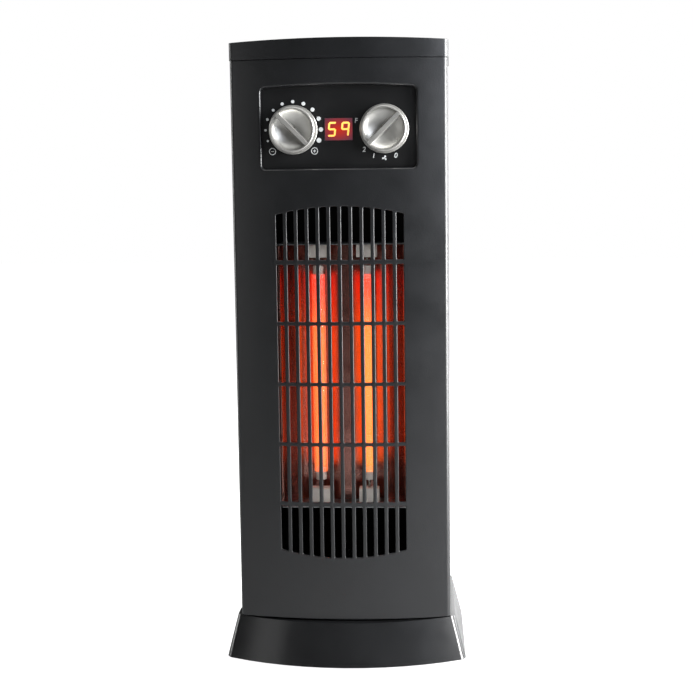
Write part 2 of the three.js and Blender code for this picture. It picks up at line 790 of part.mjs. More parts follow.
function makeTopCap() {
  const low = bodyTop + gap;
  const high = low + capHeight;
  const slab = prismZ(bodyOutline(-capOverhang), low, high + capCrown + bite);
  const width = bodyWidth + 2 * (capOverhang + bite);
  const crown = [...arcOnChord(width / 2, high, capCrown, 1), v2(-width / 2, low - bite),
    v2(width / 2, low - bite)];
  const cap = common(slab, prismY(crown, baseFront, baseRear));
  const hollow = prismZ(bodyOutline(wall), low - bite, high - wall);
  const within = bodyOutline(wall + gap + capLipWall);
  const lip = prismZ(bodyOutline(wall + gap), bodyTop - capLip, low + bite, [within]);
  const bridge = prismZ(bodyOutline(wall - bite), low, low + 2 * bite, [within]);
  return join(cut(cap, hollow), lip, bridge);
}

place("top_cap", makeTopCap(), "casing");

// ---- controls ----------------------------------------------------------------------------------------

const knobX = knobSpacing / 2;

function makeFascia() {
  const plate = prismY(recessOutline(fasciaMargin), fasciaDepth, fasciaBack);
  const window = box(-displayWidth / 2 - gap, displayWidth / 2 + gap, fasciaDepth - bite, fasciaBack + bite,
    controlsZ - displayHeight / 2 - gap, controlsZ + displayHeight / 2 + gap);
  const bores = [-1, 1].map((side) =>
    rodY(side * knobX, controlsZ, bushRadius + gap, fasciaDepth - bite, fasciaBack + bite),
  );
  const notches = housingScrewPlaces.map(([, side, z]) =>
    rodY(side * housingScrewX, z, bossRadius + gap, fasciaDepth - bite, fasciaBack + bite),
  );
  return cut(plate, window, ...bores, ...notches);
}

// A knob with its pointer along +X: a flange, a drum and a grip across the middle.
function makeKnob() {
  const round = 1;
  const turnedBody = turned([
    [0, 0],
    [knobRadius - 0.5, 0],
    [knobRadius, 0.8],
    [knobRadius, knobFlange - 0.4],
    [knobRadius - 0.5, knobFlange],
    [knobDrum, knobFlange + 0.4],
    [knobDrum - 0.6, knobDrumHeight - round],
    [knobDrum - 0.6 - round, knobDrumHeight],
    [0, knobDrumHeight],
  ], 32);
  const reach = knobDrum - 1;
  const side = [
    v2(-gripWidth / 2 - 3, knobDrumHeight - 3),
    v2(gripWidth / 2 + 3, knobDrumHeight - 3),
    v2(gripWidth / 2 + 0.6, knobDrumHeight + 2.5),
    v2(gripWidth / 2 - 0.8, knobHeight - 1),
    v2(gripWidth / 2 - 1.8, knobHeight),
    v2(-gripWidth / 2 + 1.8, knobHeight),
    v2(-gripWidth / 2 + 0.8, knobHeight - 1),
    v2(-gripWidth / 2 - 0.6, knobDrumHeight + 2.5),
  ];
  const options = { depth: 2 * knobDrum, bevelEnabled: false };
  const bar = new THREE.ExtrudeGeometry(new THREE.Shape(side), options);
  bar.translate(0, 0, -knobDrum).rotateX(Math.PI / 2).rotateZ(Math.PI / 2);
  const grip = common(bar, rodZ(0, 0, reach, 0, knobHeight + 1, 32));
  const bore = rodZ(0, 0, shaftRadius + gap, -bite, shaftGrip + gap, 16);
  return cut(join(turnedBody, grip), bore);
}

function makeKnobShaft() {
  const front = knobBack - shaftGrip;
  const back = fasciaBack + potDepth / 2;
  return rodY(0, 0, shaftRadius, front, back, 16);
}

// A rotary control behind the fascia: a body, with a threaded bush through the fascia's bore.
function makeControlBody(body) {
  const bush = rodY(0, 0, bushRadius, fasciaDepth + bushSetBack, fasciaBack + gap + bite);
  const bore = rodY(0, 0, shaftRadius + gap, fasciaDepth - bite, fasciaBack + potDepth / 2 + gap, 16);
  return cut(join(bush, body), bore);
}

const potBody = rodY(0, 0, potRadius, fasciaBack + gap, fasciaBack + gap + potDepth, 24);
const switchHalf = modeSwitchSize / 2;
const switchBack = fasciaBack + gap + modeSwitchDepth;
const switchBody = box(-switchHalf, switchHalf, fasciaBack + gap, switchBack, -switchHalf, switchHalf);

// Builds the knob, shaft and body of one rotary control in its own group. `pointer` is the clock angle
// that the knob points to, in degrees from the top.
function addControl(prefix, side, pointer, body, bodyName) {
  const group = new THREE.Group();
  group.position.set(side * knobX, 0, controlsZ);
  frame.add(group);
  const knob = place(prefix + "_knob", makeKnob(), "silver", group);
  const turn = THREE.MathUtils.degToRad(90 - pointer);
  knob.geometry.rotateZ(turn).rotateX(Math.PI / 2).translate(0, knobBack, 0);
  place(prefix + "_shaft", makeKnobShaft(), "steel", group);
  place(bodyName, makeControlBody(body), "steel", group);
}

place("control_fascia", makeFascia(), "fascia");
addControl("thermostat", -1, 135, potBody, "thermostat_potentiometer");
addControl("mode", 1, 225, switchBody, "mode_switch");

const lensFront = fasciaDepth - 0.2;
const lensBack = lensFront + lensThickness;
const moduleFront = lensBack + gap;
const moduleBack = Math.max(moduleFront + displayDepth, fasciaBack + gap + potDepth + gap);
const boardLeft = -knobX - potRadius - boardMargin;
const boardRight = knobX - switchHalf - boardToSwitch;

function displayBlock(front, back) {
  return box(-displayWidth / 2, displayWidth / 2, front, back, controlsZ - displayHeight / 2,
    controlsZ + displayHeight / 2);
}

place("display_lens", displayBlock(lensFront, lensBack), "lens");
place("display_module", displayBlock(moduleFront, moduleBack), "fascia");
const board = box(boardLeft, boardRight, moduleBack + gap, moduleBack + gap + boardThickness,
  controlsZ - boardHeight / 2, controlsZ + boardHeight / 2);
place("control_board", board, "board");

// ---- heating chamber ---------------------------------------------------------------------------------

// The reflector in plan: two troughs with curved outer walls and a low ridge between them. `offset` moves
// the line back, for the sheet's rear face.
function reflectorLine(offset) {
  const outer = chamberHalfWidth;
  const curve = new THREE.QuadraticBezierCurve(
    v2(troughCentre, reflectorBack + offset),
    v2(outer - troughTurn + offset, reflectorBack + offset),
    v2(outer + offset, reflectorFront + (offset ? sheet : 0)),
  );
  const right = [
    v2(ridgeHalfWidth, ridgeFront + offset),
    ...curve.getPoints(10),
    ...(offset ? [] : [v2(outer + flangeWidth, reflectorFront)]),
  ];
  if (offset) right.push(v2(outer + flangeWidth, reflectorFront + sheet));
  const left = right.map((p) => v2(-p.x, p.y)).reverse();
  return [...left, ...right];
}

const reflectorOutline = [...reflectorLine(0), ...reflectorLine(sheet).reverse()];
const reflector = prismZ(reflectorOutline, lowerPlateZ + sheet + gap, upperPlateZ - gap);
place("reflector", reflector, "polished");

function makeEndPlate(low) {
  const reach = chamberHalfWidth + flangeWidth;
  const plate = box(-reach, reach, reflectorFront, plateDepth, low, low + sheet);
  const holeRadius = pinRadius + pinHoleClearance;
  const pinHoles = [-1, 1].map((side) =>
    rodZ((side * tubeSpacing) / 2, tubeDepth, holeRadius, low - bite, low + sheet + bite, 12),
  );
  return cut(plate, ...pinHoles);
}

place("upper_end_plate", makeEndPlate(upperPlateZ), "zinc");
place("lower_end_plate", makeEndPlate(lowerPlateZ), "zinc");

const ring = (outer, inner, low, high, sides) =>
  cut(rodZ(0, 0, outer, low, high, sides), rodZ(0, 0, inner, low - bite, high + bite, sides));

// A ceramic plug, with its spigot towards the tube: `end` is 1 above the tube and -1 below it.
function makePlug(end) {
  const spigot = tubeBore - plugClearance;
  const profile = [
    [0, -plugSpigot],
    [spigot, -plugSpigot],
    [spigot, gap],
    [plugRadius, gap],
    [plugRadius, gap + plugHeight],
    [0, gap + plugHeight],
  ];
  const plug = turned(profile, 20);
  const bore = rodZ(0, 0, pinRadius + gap, -plugSpigot - bite, plugHeight + bite, 10);
  const made = cut(plug, bore);
  return end > 0 ? geometryOf(made) : geometryOf(made).rotateX(Math.PI);
}

function makePin(end) {
  const height = end > 0 ? upperBlockHeight : lowerBlockHeight;
  const low = -plugSpigot + gap;
  const high = gap + plugHeight + pinLength + height + gap / 2;
  const pin = rodZ(0, 0, pinRadius, low, high, 10);
  return end > 0 ? pin : pin.rotateX(Math.PI);
}

function makeBlock(end) {
  const height = end > 0 ? upperBlockHeight : lowerBlockHeight;
  const low = gap + plugHeight + pinLength;
  const x = blockWidth / 2;
  const y = blockDepth / 2;
  const bore = rodZ(0, 0, pinRadius + gap, low - bite, low + height + bite, 10);
  const block = cut(box(-x, x, -y, y, low, low + height), bore);
  return end > 0 ? block : geometryOf(block).rotateX(Math.PI);
}

for (const [sideName, side] of [["left", -1], ["right", 1]]) {
  const heaterTube = new THREE.Group();
  heaterTube.position.set((side * tubeSpacing) / 2, tubeDepth, 0);
  frame.add(heaterTube);
  const coilLow = tubeBottom + plugSpigot + gap;
  const coilHigh = tubeTop - plugSpigot - gap;
  place("quartz_tube_" + sideName, ring(tubeRadius, tubeBore, tubeBottom, tubeTop, 20), "quartz", heaterTube);
  const coil = rodZ(0, 0, tubeBore - coilClearance, coilLow, coilHigh, 12);
  place("heating_coil_" + sideName, coil, "coil", heaterTube);
  for (const [endName, end, z] of [["upper", 1, tubeTop], ["lower", -1, tubeBottom]]) {
    const seat = new THREE.Group();
    seat.position.z = z;
    heaterTube.add(seat);
    const suffix = endName + "_" + sideName;
    place("tube_plug_" + suffix, makePlug(end), "ceramic", seat);
    place("tube_pin_" + suffix, makePin(end), "steel", seat);
    place("tube_holder_" + suffix, makeBlock(end), "ceramic", seat);
  }
}

// The thermal cut-out clamps against the back of the ridge.
const cutoutZ = upperPlateZ - cutoutBelowPlate;
const cutoutFront = ridgeFront + sheet + gap;
const cutoutBack = cutoutFront + cutoutThickness;
const tabEnd = cutoutBack + cutoutTabLength;
const cutoutBody = rodY(0, cutoutZ, ridgeHalfWidth, cutoutFront, cutoutBack, 20);
const cutoutTabs = box(-cutoutTabWidth / 2, cutoutTabWidth / 2, cutoutBack - bite, tabEnd,
  cutoutZ - cutoutTabHeight / 2, cutoutZ + cutoutTabHeight / 2);
place("thermal_cutout", join(cutoutBody, cutoutTabs), "zinc");

// ---- fan ---------------------------------------------------------------------------------------------

const fan = new THREE.Group();
fan.position.z = fanHeight;
frame.add(fan);

function makeShroud() {
  const s = shroudSize / 2;
  const plate = box(-s, s, shroudFront, shroudFront + shroudPlate, -s, s);
  const ringWall = rodY(0, 0, ringOuter, ringFront, shroudFront + bite, 36);
  return cut(join(plate, ringWall), rodY(0, 0, ringInner, ringFront - bite, bodyRear, 36));
}

function makeBracket() {
  const reach = ringOuter;
  const bar = box(-reach, reach, bracketBack - bracketThickness, bracketBack, -bracketWidth / 2,
    bracketWidth / 2);
  const upright = box(-bracketWidth / 2, bracketWidth / 2, bracketBack - bracketThickness, bracketBack,
    -reach, reach);
  const hub = rodY(0, 0, hubRadius, bracketBack - bracketThickness, bracketBack, 24);
  const boreRadius = motorShaftRadius + bracketBoreClearance;
  const bore = rodY(0, 0, boreRadius, bracketBack - bracketThickness - bite, bracketBack + bite, 16);
  return cut(join(bar, upright, hub), bore);
}

function makeMotor() {
  const s = motorSize / 2;
  const stack = box(-s, s, motorFront + motorShoulder, motorBack - motorShoulder, -s, s);
  const can = rodY(0, 0, s - motorCanInset, motorFront, motorBack, 24);
  const boreRadius = motorShaftRadius + bearingClearance;
  const bore = rodY(0, 0, boreRadius, motorBack - motorBoreDepth, motorBack + bite, 24);
  return cut(join(stack, can), bore);
}

const shaftFront = motorBack - motorBoreDepth + gap;
const shaftBack = impellerBack - hubSeat;
const motorShaft = rodY(0, 0, motorShaftRadius, shaftFront, shaftBack, 24);

// A blade's share of its full chord at a place along it, from 0 at the root to 1 at the tip.
const bladeTaper = (along) => 0.62 + 0.38 * Math.sin((along * Math.PI) / 1.6);

function makeImpeller() {
  const hub = rodY(0, 0, hubRadius, impellerFront, impellerBack, 24);
  const span = impellerRadius - hubRadius + bladeRoot;
  let impeller = asSolid(hub);
  for (let i = 0; i < bladeCount; i++) {
    const blade = new THREE.BoxGeometry(bladeChord, bladeThickness, span, 1, 1, 6);
    const position = blade.attributes.position;
    for (let k = 0; k < position.count; k++) {
      const along = position.getZ(k) / span + 0.5;
      position.setX(k, position.getX(k) * bladeTaper(along));
    }
    blade.rotateZ(bladePitch);
    blade.translate(0, (impellerFront + impellerBack) / 2, hubRadius - bladeRoot + span / 2);
    blade.rotateY((i * 2 * Math.PI) / bladeCount);
    impeller = join(impeller, blade);
  }
  const round = rodY(0, 0, impellerRadius, impellerFront - bladeChord, impellerBack + bladeChord, 36);
  const bore = rodY(0, 0, motorShaftRadius + gap, impellerFront - bite, shaftBack + gap, 16);
  return cut(common(impeller, round), bore);
}

place("fan_shroud", makeShroud(), "fan", fan);
place("motor_bracket", makeBracket(), "zinc", fan);
place("fan_motor", makeMotor(), "steel", fan);
place("motor_shaft", motorShaft, "steel", fan);
place("fan_impeller", makeImpeller(), "fan", fan);

// ---- wiring and safety switch ------------------------------------------------------------------------

const terminalEndX = terminalX + terminalLength;
const terminalBack = terminalFront + terminalDepth;
const terminalBase = bodyBottom + terminalLift;
const terminalTop = terminalBase + terminalHeight + terminalMiddle;
const terminalFoot = box(terminalX, terminalEndX, terminalFront, terminalBack, terminalBase,
  terminalBase + terminalHeight);
const terminalRow = box(terminalX + terminalEnd, terminalEndX - terminalEnd, terminalFront + terminalStep,
  terminalBack - terminalStep, terminalBase, terminalTop);
place("terminal_block", join(terminalFoot, terminalRow), "ceramic");

function makeTipSwitch() {
  const s = tipSwitchWidth / 2;
  const top = deckBottom - gap;
  const body = box(-s, s, tipSwitchY - s, tipSwitchY + s, top - tipSwitchHeight, top);
  const boreRadius = plungerRadius + plungerClearance;
  const bore = rodZ(0, tipSwitchY, boreRadius, top - tipSwitchHeight - bite, top - tipSwitchRoof, 24);
  return cut(body, bore);
}

const plungerTop = deckBottom - gap - tipSwitchRoof - plungerHeadroom;
const plunger = turned([
  [0, 0],
  [plungerFoot - footChamfer, 0],
  [plungerFoot, footChamfer],
  [plungerFoot, plungerFootHeight],
  [plungerRadius, plungerFootHeight],
  [plungerRadius, plungerTop],
  [0, plungerTop],
], 24).translate(0, tipSwitchY, 0);

// A compression spring round the plunger, from its foot to the switch.
function makeSpring() {
  const low = plungerFootHeight + gap + springWire;
  const high = deckBottom - gap - tipSwitchHeight - gap - springWire;
  const points = [];
  const perTurn = 8;
  for (let i = 0; i <= springTurns * perTurn; i++) {
    const a = (i / perTurn) * 2 * Math.PI;
    const z = low + ((high - low) * i) / (springTurns * perTurn);
    points.push(new THREE.Vector3(springRadius * Math.cos(a), springRadius * Math.sin(a), z));
  }
  return sweep(points, springWire, 6, springTurns * perTurn).translate(0, tipSwitchY, 0);
}

// A round bar swept along a smooth line through the points.
function sweep(points, radius, sides, steps) {
  const extrudePath = new THREE.CatmullRomCurve3(points);
  const section = new THREE.Shape(circle(0, 0, radius, sides));
  return new THREE.ExtrudeGeometry(section, { steps, bevelEnabled: false, extrudePath });
}

place("tip_over_switch", makeTipSwitch(), "fascia");
place("tip_plunger", plunger, "fan");
place("plunger_spring", makeSpring(), "steel");

// Two wires from the terminal block: one up the right side to the mode switch, one to the cut-out.
const wireX = half - wall - 14;
const wireStart = terminalTop + gap;
const supplyWire = [
  new THREE.Vector3(terminalX + 38, terminalFront + 8, wireStart),
  new THREE.Vector3(terminalX + 39, terminalFront + 8, wireStart + 12),
  new THREE.Vector3(wireX, terminalFront - 4, wireStart + 55),
  new THREE.Vector3(wireX, terminalFront - 8, bodyMid),
  new THREE.Vector3(wireX - 6, terminalFront - 20, recessBottom - 40),
  new THREE.Vector3(knobX + 6, switchBack + 34, controlsZ - 18),
  new THREE.Vector3(knobX, switchBack + 12, controlsZ),
  new THREE.Vector3(knobX, switchBack + gap, controlsZ),
];
const cutoutWire = [
  new THREE.Vector3(terminalX + 26, terminalFront + 8, wireStart),
  new THREE.Vector3(terminalX + 27, terminalFront + 8, wireStart + 12),
  new THREE.Vector3(wireX - 10, terminalFront - 8, wireStart + 60),
  new THREE.Vector3(wireX - 12, terminalFront - 10, cutoutZ - 70),
  new THREE.Vector3(24, terminalFront - 10, cutoutZ - 8),
  new THREE.Vector3(6, terminalFront - 16, cutoutZ),
  new THREE.Vector3(0, tabEnd + 8, cutoutZ),
  new THREE.Vector3(0, tabEnd + gap, cutoutZ),
];
place("supply_wire", sweep(supplyWire, wireRadius, 8, 26), "wire");
place("cutout_wire", sweep(cutoutWire, wireRadius, 8, 24), "wire");

export default heater;
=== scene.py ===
"""Looks of an infrared tower heater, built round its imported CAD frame.

Each sub-assembly is a class that models its pieces, dresses them and sets them on their bodies.
"""

import json
import logging
import math
from dataclasses import dataclass
from enum import Enum
from typing import Callable, Iterable

import bmesh
import bpy
from mathutils import Matrix, Vector


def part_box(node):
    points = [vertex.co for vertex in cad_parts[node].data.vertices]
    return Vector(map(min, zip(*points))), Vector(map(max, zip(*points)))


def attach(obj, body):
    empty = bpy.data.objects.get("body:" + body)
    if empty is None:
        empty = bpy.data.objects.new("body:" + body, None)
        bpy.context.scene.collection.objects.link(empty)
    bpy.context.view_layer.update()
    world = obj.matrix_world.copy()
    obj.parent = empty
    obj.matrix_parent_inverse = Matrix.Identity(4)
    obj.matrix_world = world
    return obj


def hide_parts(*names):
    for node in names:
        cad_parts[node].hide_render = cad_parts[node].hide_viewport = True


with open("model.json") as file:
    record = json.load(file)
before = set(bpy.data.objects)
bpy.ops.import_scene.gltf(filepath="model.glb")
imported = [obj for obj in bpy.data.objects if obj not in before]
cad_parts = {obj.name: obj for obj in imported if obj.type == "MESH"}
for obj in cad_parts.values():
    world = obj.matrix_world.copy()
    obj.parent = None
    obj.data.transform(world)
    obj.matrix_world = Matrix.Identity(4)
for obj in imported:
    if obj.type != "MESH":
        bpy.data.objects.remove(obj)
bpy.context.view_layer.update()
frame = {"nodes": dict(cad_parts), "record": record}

MM = 0.001
HAIR = 1e-6
SEAM_MM = 0.002
FLAT_DEGREES = 0.4
log = logging.getLogger("heater")

Piece = bpy.types.Object
Tree = bpy.types.NodeTree
EdgeTest = Callable[[Vector, Vector], bool]


class Body(Enum):
    """The bodies of the frame that pieces ride on."""

    HEATER = "heater_body"
    THERMOSTAT = "thermostat_dial"
    MODE = "mode_dial"
    FAN = "fan_rotor"
    PLUNGER = "plunger"


# ---- workshop: the few things done to every piece ----------------------------------------------------


def deselect() -> None:
    """Leaves edit mode and deselects every object."""
    if bpy.context.object and bpy.context.object.mode != "OBJECT":
        bpy.ops.object.mode_set(mode="OBJECT")
    bpy.ops.object.select_all(action="DESELECT")


def activate(piece: Piece) -> None:
    """Makes a piece the only selected and the active object."""
    deselect()
    piece.select_set(True)
    bpy.context.view_layer.objects.active = piece


def edit(piece: Piece, kind: str = "") -> None:
    """Opens a piece in edit mode: all selected, or nothing if edges or faces are to be picked.

    Args:
        piece: The piece to open.
        kind: EDGE or FACE, if some are to be picked.
    """
    activate(piece)
    bpy.ops.object.mode_set(mode="EDIT")
    if kind:
        bpy.ops.mesh.select_mode(type=kind)
    bpy.ops.mesh.select_all(action="DESELECT" if kind else "SELECT")


def settle(piece: Piece, name: str) -> Piece:
    """Names a new piece and moves its place, turn and scale into its mesh.

    Args:
        piece: The object that was just added.
        name: Its name from now on.

    Returns:
        The same object, at the origin.
    """
    piece.name = name
    piece.data.name = name
    activate(piece)
    bpy.ops.object.transform_apply(location=True, rotation=True, scale=True)
    return piece


def add_block(name: str, low: Iterable[float], high: Iterable[float]) -> Piece:
    """Adds a block between two corners, to be shaped further.

    Args:
        name: The block's name.
        low: Its lowest corner, in millimetres.
        high: Its highest corner, in millimetres.

    Returns:
        The block, at the origin.
    """
    lowest, highest = Vector(low) * MM, Vector(high) * MM
    deselect()
    bpy.ops.mesh.primitive_cube_add(size=1, location=(lowest + highest) / 2, scale=highest - lowest)
    return settle(bpy.context.object, name)


def add_rod(
    name: str, radius: float, length: float, base: Iterable[float] = (0, 0, 0), sides: int = 48
) -> Piece:
    """Adds a rod that stands on +Z, to be shaped further.

    Args:
        name: The rod's name.
        radius: Its radius, in millimetres.
        length: Its length, in millimetres.
        base: The centre of its lower end, in millimetres.
        sides: Its number of sides.

    Returns:
        The rod, at the origin.
    """
    deselect()
    centre = (Vector(base) + Vector((0, 0, length / 2))) * MM
    bpy.ops.mesh.primitive_cylinder_add(
        vertices=sides, radius=radius * MM, depth=length * MM, location=centre
    )
    return settle(bpy.context.object, name)


def select_edges(piece: Piece, test: EdgeTest, sharp: float = 0.0) -> int:
    """Selects edges by the place of their ends, and stays in edit mode.

    Args:
        piece: The piece whose edges are looked at.
        test: Says yes or no to an edge, from its two ends in metres.
        sharp: The least angle between an edge's two faces, in degrees.

    Returns:
        The number of edges selected.
    """
    edit(piece, "EDGE")
    working = bmesh.from_edit_mesh(piece.data)
    least = math.radians(sharp)
    chosen = [
        edge
        for edge in working.edges
        if edge.calc_face_angle(math.pi) >= least and test(edge.verts[0].co, edge.verts[1].co)
    ]
    for edge in chosen:
        edge.select_set(True)
    bmesh.update_edit_mesh(piece.data)
    return len(chosen)


def face_height(face: bmesh.types.BMFace) -> float:
    """How high the middle of a face is."""
    return face.calc_center_median().z


def round_edges(
    piece: Piece, radius: float, test: EdgeTest, sharp: float = 30.0, segments: int = 3
) -> None:
    """Rounds the edges that pass a test.

    Args:
        piece: The piece to round.
        radius: The radius, in millimetres.
        test: Chooses the edges, from their ends in metres.
        sharp: The least angle between an edge's two faces, in degrees.
        segments: The number of facets across the round.
    """
    if select_edges(piece, test, sharp):
        bpy.ops.mesh.bevel(offset=radius * MM, segments=segments, affect="EDGES", clamp_overlap=True)
    bpy.ops.object.mode_set(mode="OBJECT")


def along(axis: int) -> EdgeTest:
    """A test for edges that run along one axis."""

    def runs_along(a: Vector, b: Vector) -> bool:
        """Both ends share their places on the other two axes."""
        return all(abs(a[i] - b[i]) < HAIR for i in range(3) if i != axis)

    return runs_along


def lying_at(axis: int, *places: float) -> EdgeTest:
    """A test for edges that lie at one of some places on an axis, in metres."""

    def lies_there(a: Vector, b: Vector) -> bool:
        """Both ends are at the same one of the places."""
        return any(abs(a[axis] - place) < HAIR and abs(b[axis] - place) < HAIR for place in places)

    return lies_there


def apply_modifier(piece: Piece, kind: str, **settings: object) -> None:
    """Adds a modifier with its settings and applies it.

    Args:
        piece: The piece to change.
        kind: The modifier's type.
        **settings: Its settings, by name.
    """
    activate(piece)
    modifier = piece.modifiers.new(kind.lower(), kind)
    for name, value in settings.items():
        setattr(modifier, name, value)
    bpy.ops.object.modifier_apply(modifier=modifier.name)


def combine(piece: Piece, tool: Piece, operation: str = "DIFFERENCE") -> None:
    """Cuts a tool from a piece, or joins it on, and throws the tool away.

    Args:
        piece: The piece that stays.
        tool: The piece that is used up.
        operation: DIFFERENCE, UNION or INTERSECT.
    """
    apply_modifier(piece, "BOOLEAN", object=tool, operation=operation, solver="EXACT")
    bpy.data.objects.remove(tool)


def join(name: str, pieces: list[Piece]) -> Piece:
    """Joins separate pieces into one object with one name."""
    deselect()
    for piece in pieces:
        piece.select_set(True)
    bpy.context.view_layer.objects.active = pieces[0]
    bpy.ops.object.join()
    pieces[0].name = name
    pieces[0].data.name = name
    return pieces[0]


def slice_across(piece: Piece, axis: int, places: Iterable[float]) -> None:
    """Adds lines of vertices across a piece, so that it can be curved.

    Args:
        piece: The piece to cut into strips.
        axis: The axis that the cuts stand square to.
        places: Where they cross it, in millimetres.
    """
    normal = Vector((0, 0, 0))
    normal[axis] = 1
    edit(piece)
    for place in places:
        bpy.ops.mesh.select_all(action="SELECT")
        bpy.ops.mesh.bisect(plane_co=normal * place * MM, plane_no=normal)
    bpy.ops.object.mode_set(mode="OBJECT")


def move_points(piece: Piece, rule: Callable[[Vector], Vector]) -> None:
    """Moves every vertex by a rule: curving a panel needs this, because bending needs a window."""
    for vertex in piece.data.vertices:
        vertex.co = rule(vertex.co)
    piece.data.update()


def smooth(piece: Piece, angle: float = 32.0) -> None:
    """Shades a piece smooth up to an angle, with flat faces kept flat."""
    activate(piece)
    bpy.ops.object.shade_smooth_by_angle(angle=math.radians(angle))
    apply_modifier(piece, "WEIGHTED_NORMAL", keep_sharp=True, weight=80)


def merged_copy(node: str) -> Piece:
    """Copies a CAD node's mesh with its seams merged and its flat faces whole.

    Args:
        node: The CAD node to copy.

    Returns:
        The new piece, which isn't yet on a body.
    """
    piece = bpy.data.objects.new(node + "_finished", frame["nodes"][node].data.copy())
    bpy.context.scene.collection.objects.link(piece)
    piece.data.materials.clear()
    edit(piece)
    bpy.ops.mesh.remove_doubles(threshold=SEAM_MM * MM)
    bpy.ops.mesh.dissolve_limited(angle_limit=math.radians(FLAT_DEGREES))
    bpy.ops.object.mode_set(mode="OBJECT")
    return piece


def soften(piece: Piece, edge: float, segments: int = 2, angle: float = 40.0) -> Piece:
    """Rounds every sharp edge of a piece and shades it smooth.

    Args:
        piece: The piece to round.
        edge: The radius of its edges, in millimetres.
        segments: The number of facets across each round.
        angle: The least angle of an edge that is rounded, in degrees.

    Returns:
        The same piece.
    """
    apply_modifier(
        piece,
        "BEVEL",
        width=edge * MM,
        segments=segments,
        limit_method="ANGLE",
        angle_limit=math.radians(angle),
        use_clamp_overlap=True,
    )
    smooth(piece, angle - 5)
    return piece


def dress(piece: Piece, material: bpy.types.Material) -> None:
    """Gives a piece one material."""
    piece.data.materials.clear()
    piece.data.materials.append(material)


def finish_piece(
    piece: Piece,
    material: bpy.types.Material,
    nodes: Iterable[str] = (),
    body: Body = Body.HEATER,
) -> None:
    """Dresses a piece, sets it on its body and hides the CAD nodes that it replaces.

    Args:
        piece: The finished piece.
        material: Its material.
        nodes: The CAD nodes that it replaces.
        body: The body that it rides on.
    """
    dress(piece, material)
    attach(piece, body.value)
    if nodes:
        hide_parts(*nodes)
    log.info("%s rides on %s", piece.name, body.value)


def finish_node(
    node: str,
    edge: float,
    segments: int,
    material: bpy.types.Material,
    body: Body = Body.HEATER,
) -> None:
    """Makes the finished piece for a CAD node from a softened copy of it."""
    finish_piece(soften(merged_copy(node), edge, segments), material, [node], body)


def node_size(node: str) -> tuple[Vector, Vector]:
    """The lowest and highest corners of a CAD node, in millimetres."""
    low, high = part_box(node)
    return low / MM, high / MM


# ---- finishes ----------------------------------------------------------------------------------------


def linear(colour: str) -> tuple[float, float, float, float]:
    """Turns an sRGB hex colour into the linear values that a shader takes.

    Args:
        colour: Six hex digits after a hash sign.

    Returns:
        Red, green, blue and alpha.
    """
    parts = [int(colour[i : i + 2], 16) / 255 for i in (1, 3, 5)]
    red, green, blue = (p / 12.92 if p <= 0.04045 else ((p + 0.055) / 1.055) ** 2.4 for p in parts)
    return red, green, blue, 1.0


def feed(tree: Tree, node: bpy.types.Node, inputs: dict[str | int, object]) -> None:
    """Sets a node's inputs, each to a value or to another node's output."""
    for key, value in inputs.items():
        if isinstance(value, bpy.types.NodeSocket):
            tree.links.new(value, node.inputs[key])
        else:
            node.inputs[key].default_value = value


def add_node(
    tree: Tree, kind: str, inputs: dict[str | int, object] | None = None, **settings: object
) -> bpy.types.Node:
    """Adds a shader node with its settings, values and links.

    Args:
        tree: The tree that it joins.
        kind: The node's type.
        inputs: A value or an output for each input.
        **settings: The node's own settings.

    Returns:
        The new node.
    """
    made = tree.nodes.new(kind)
    for name, value in settings.items():
        setattr(made, name, value)
    feed(tree, made, inputs or {})
    return made


def start_material(name: str) -> tuple[bpy.types.Material, Tree, bpy.types.Node]:
    """Starts a material.

    Args:
        name: The material's name.

    Returns:
        The material, its tree and its Principled shader.
    """
    material = bpy.data.materials.new(name)
    material.use_nodes = True
    tree = material.node_tree
    return material, tree, tree.nodes["Principled BSDF"]


def noise(
    tree: Tree, size_mm: float, stretch: tuple[float, float, float], detail: float = 2.0
) -> bpy.types.NodeSocket:
    """Adds a noise pattern on Object coordinates.

    Args:
        tree: The tree that it joins.
        size_mm: The size of its spots, in millimetres.
        stretch: How many times finer it is along each axis.
        detail: How much finer noise it carries.

    Returns:
        The pattern's value output.
    """
    place = add_node(tree, "ShaderNodeTexCoord").outputs["Object"]
    scaled = add_node(tree, "ShaderNodeMapping", {"Vector": place, "Scale": stretch}).outputs["Vector"]
    settings = {"Vector": scaled, "Scale": 1 / (size_mm * MM), "Detail": detail, "Roughness": 0.55}
    return add_node(tree, "ShaderNodeTexNoise", settings).outputs["Fac"]


@dataclass(frozen=True)
class Grained:
    """A moulded, fired or printed surface with a fine grain.

    The grain gives the surface its bump, slow patches shift its colour and its gloss.
    """

    name: str
    colour: str
    patch_colour: str
    rough_low: float
    rough_high: float
    grain_mm: float
    grain_depth_mm: float
    patch_mm: float = 35.0
    ior: float = 1.5
    metallic: float = 0.0
    stretch: tuple[float, float, float] = (1, 1, 1)

    def material(self) -> bpy.types.Material:
        """Builds the material."""
        material, tree, shader = start_material(self.name)
        grain = noise(tree, self.grain_mm, self.stretch)
        patch = noise(tree, self.patch_mm, (1, 1, 1), 3.0)
        colour = add_node(
            tree,
            "ShaderNodeMix",
            {"Factor": patch, "A": linear(self.colour), "B": linear(self.patch_colour)},
            data_type="RGBA",
        )
        gloss = {"Value": patch, "From Min": 0.3, "From Max": 0.7}
        gloss |= {"To Min": self.rough_low, "To Max": self.rough_high}
        rough = add_node(tree, "ShaderNodeMapRange", gloss)
        relief = {"Height": grain, "Strength": 0.6, "Distance": self.grain_depth_mm * MM}
        bump = add_node(tree, "ShaderNodeBump", relief)
        looks = {"Base Color": colour.outputs["Result"], "Roughness": rough.outputs["Result"]}
        looks |= {"Normal": bump.outputs["Normal"], "IOR": self.ior, "Metallic": self.metallic}
        feed(tree, shader, looks)
        return material


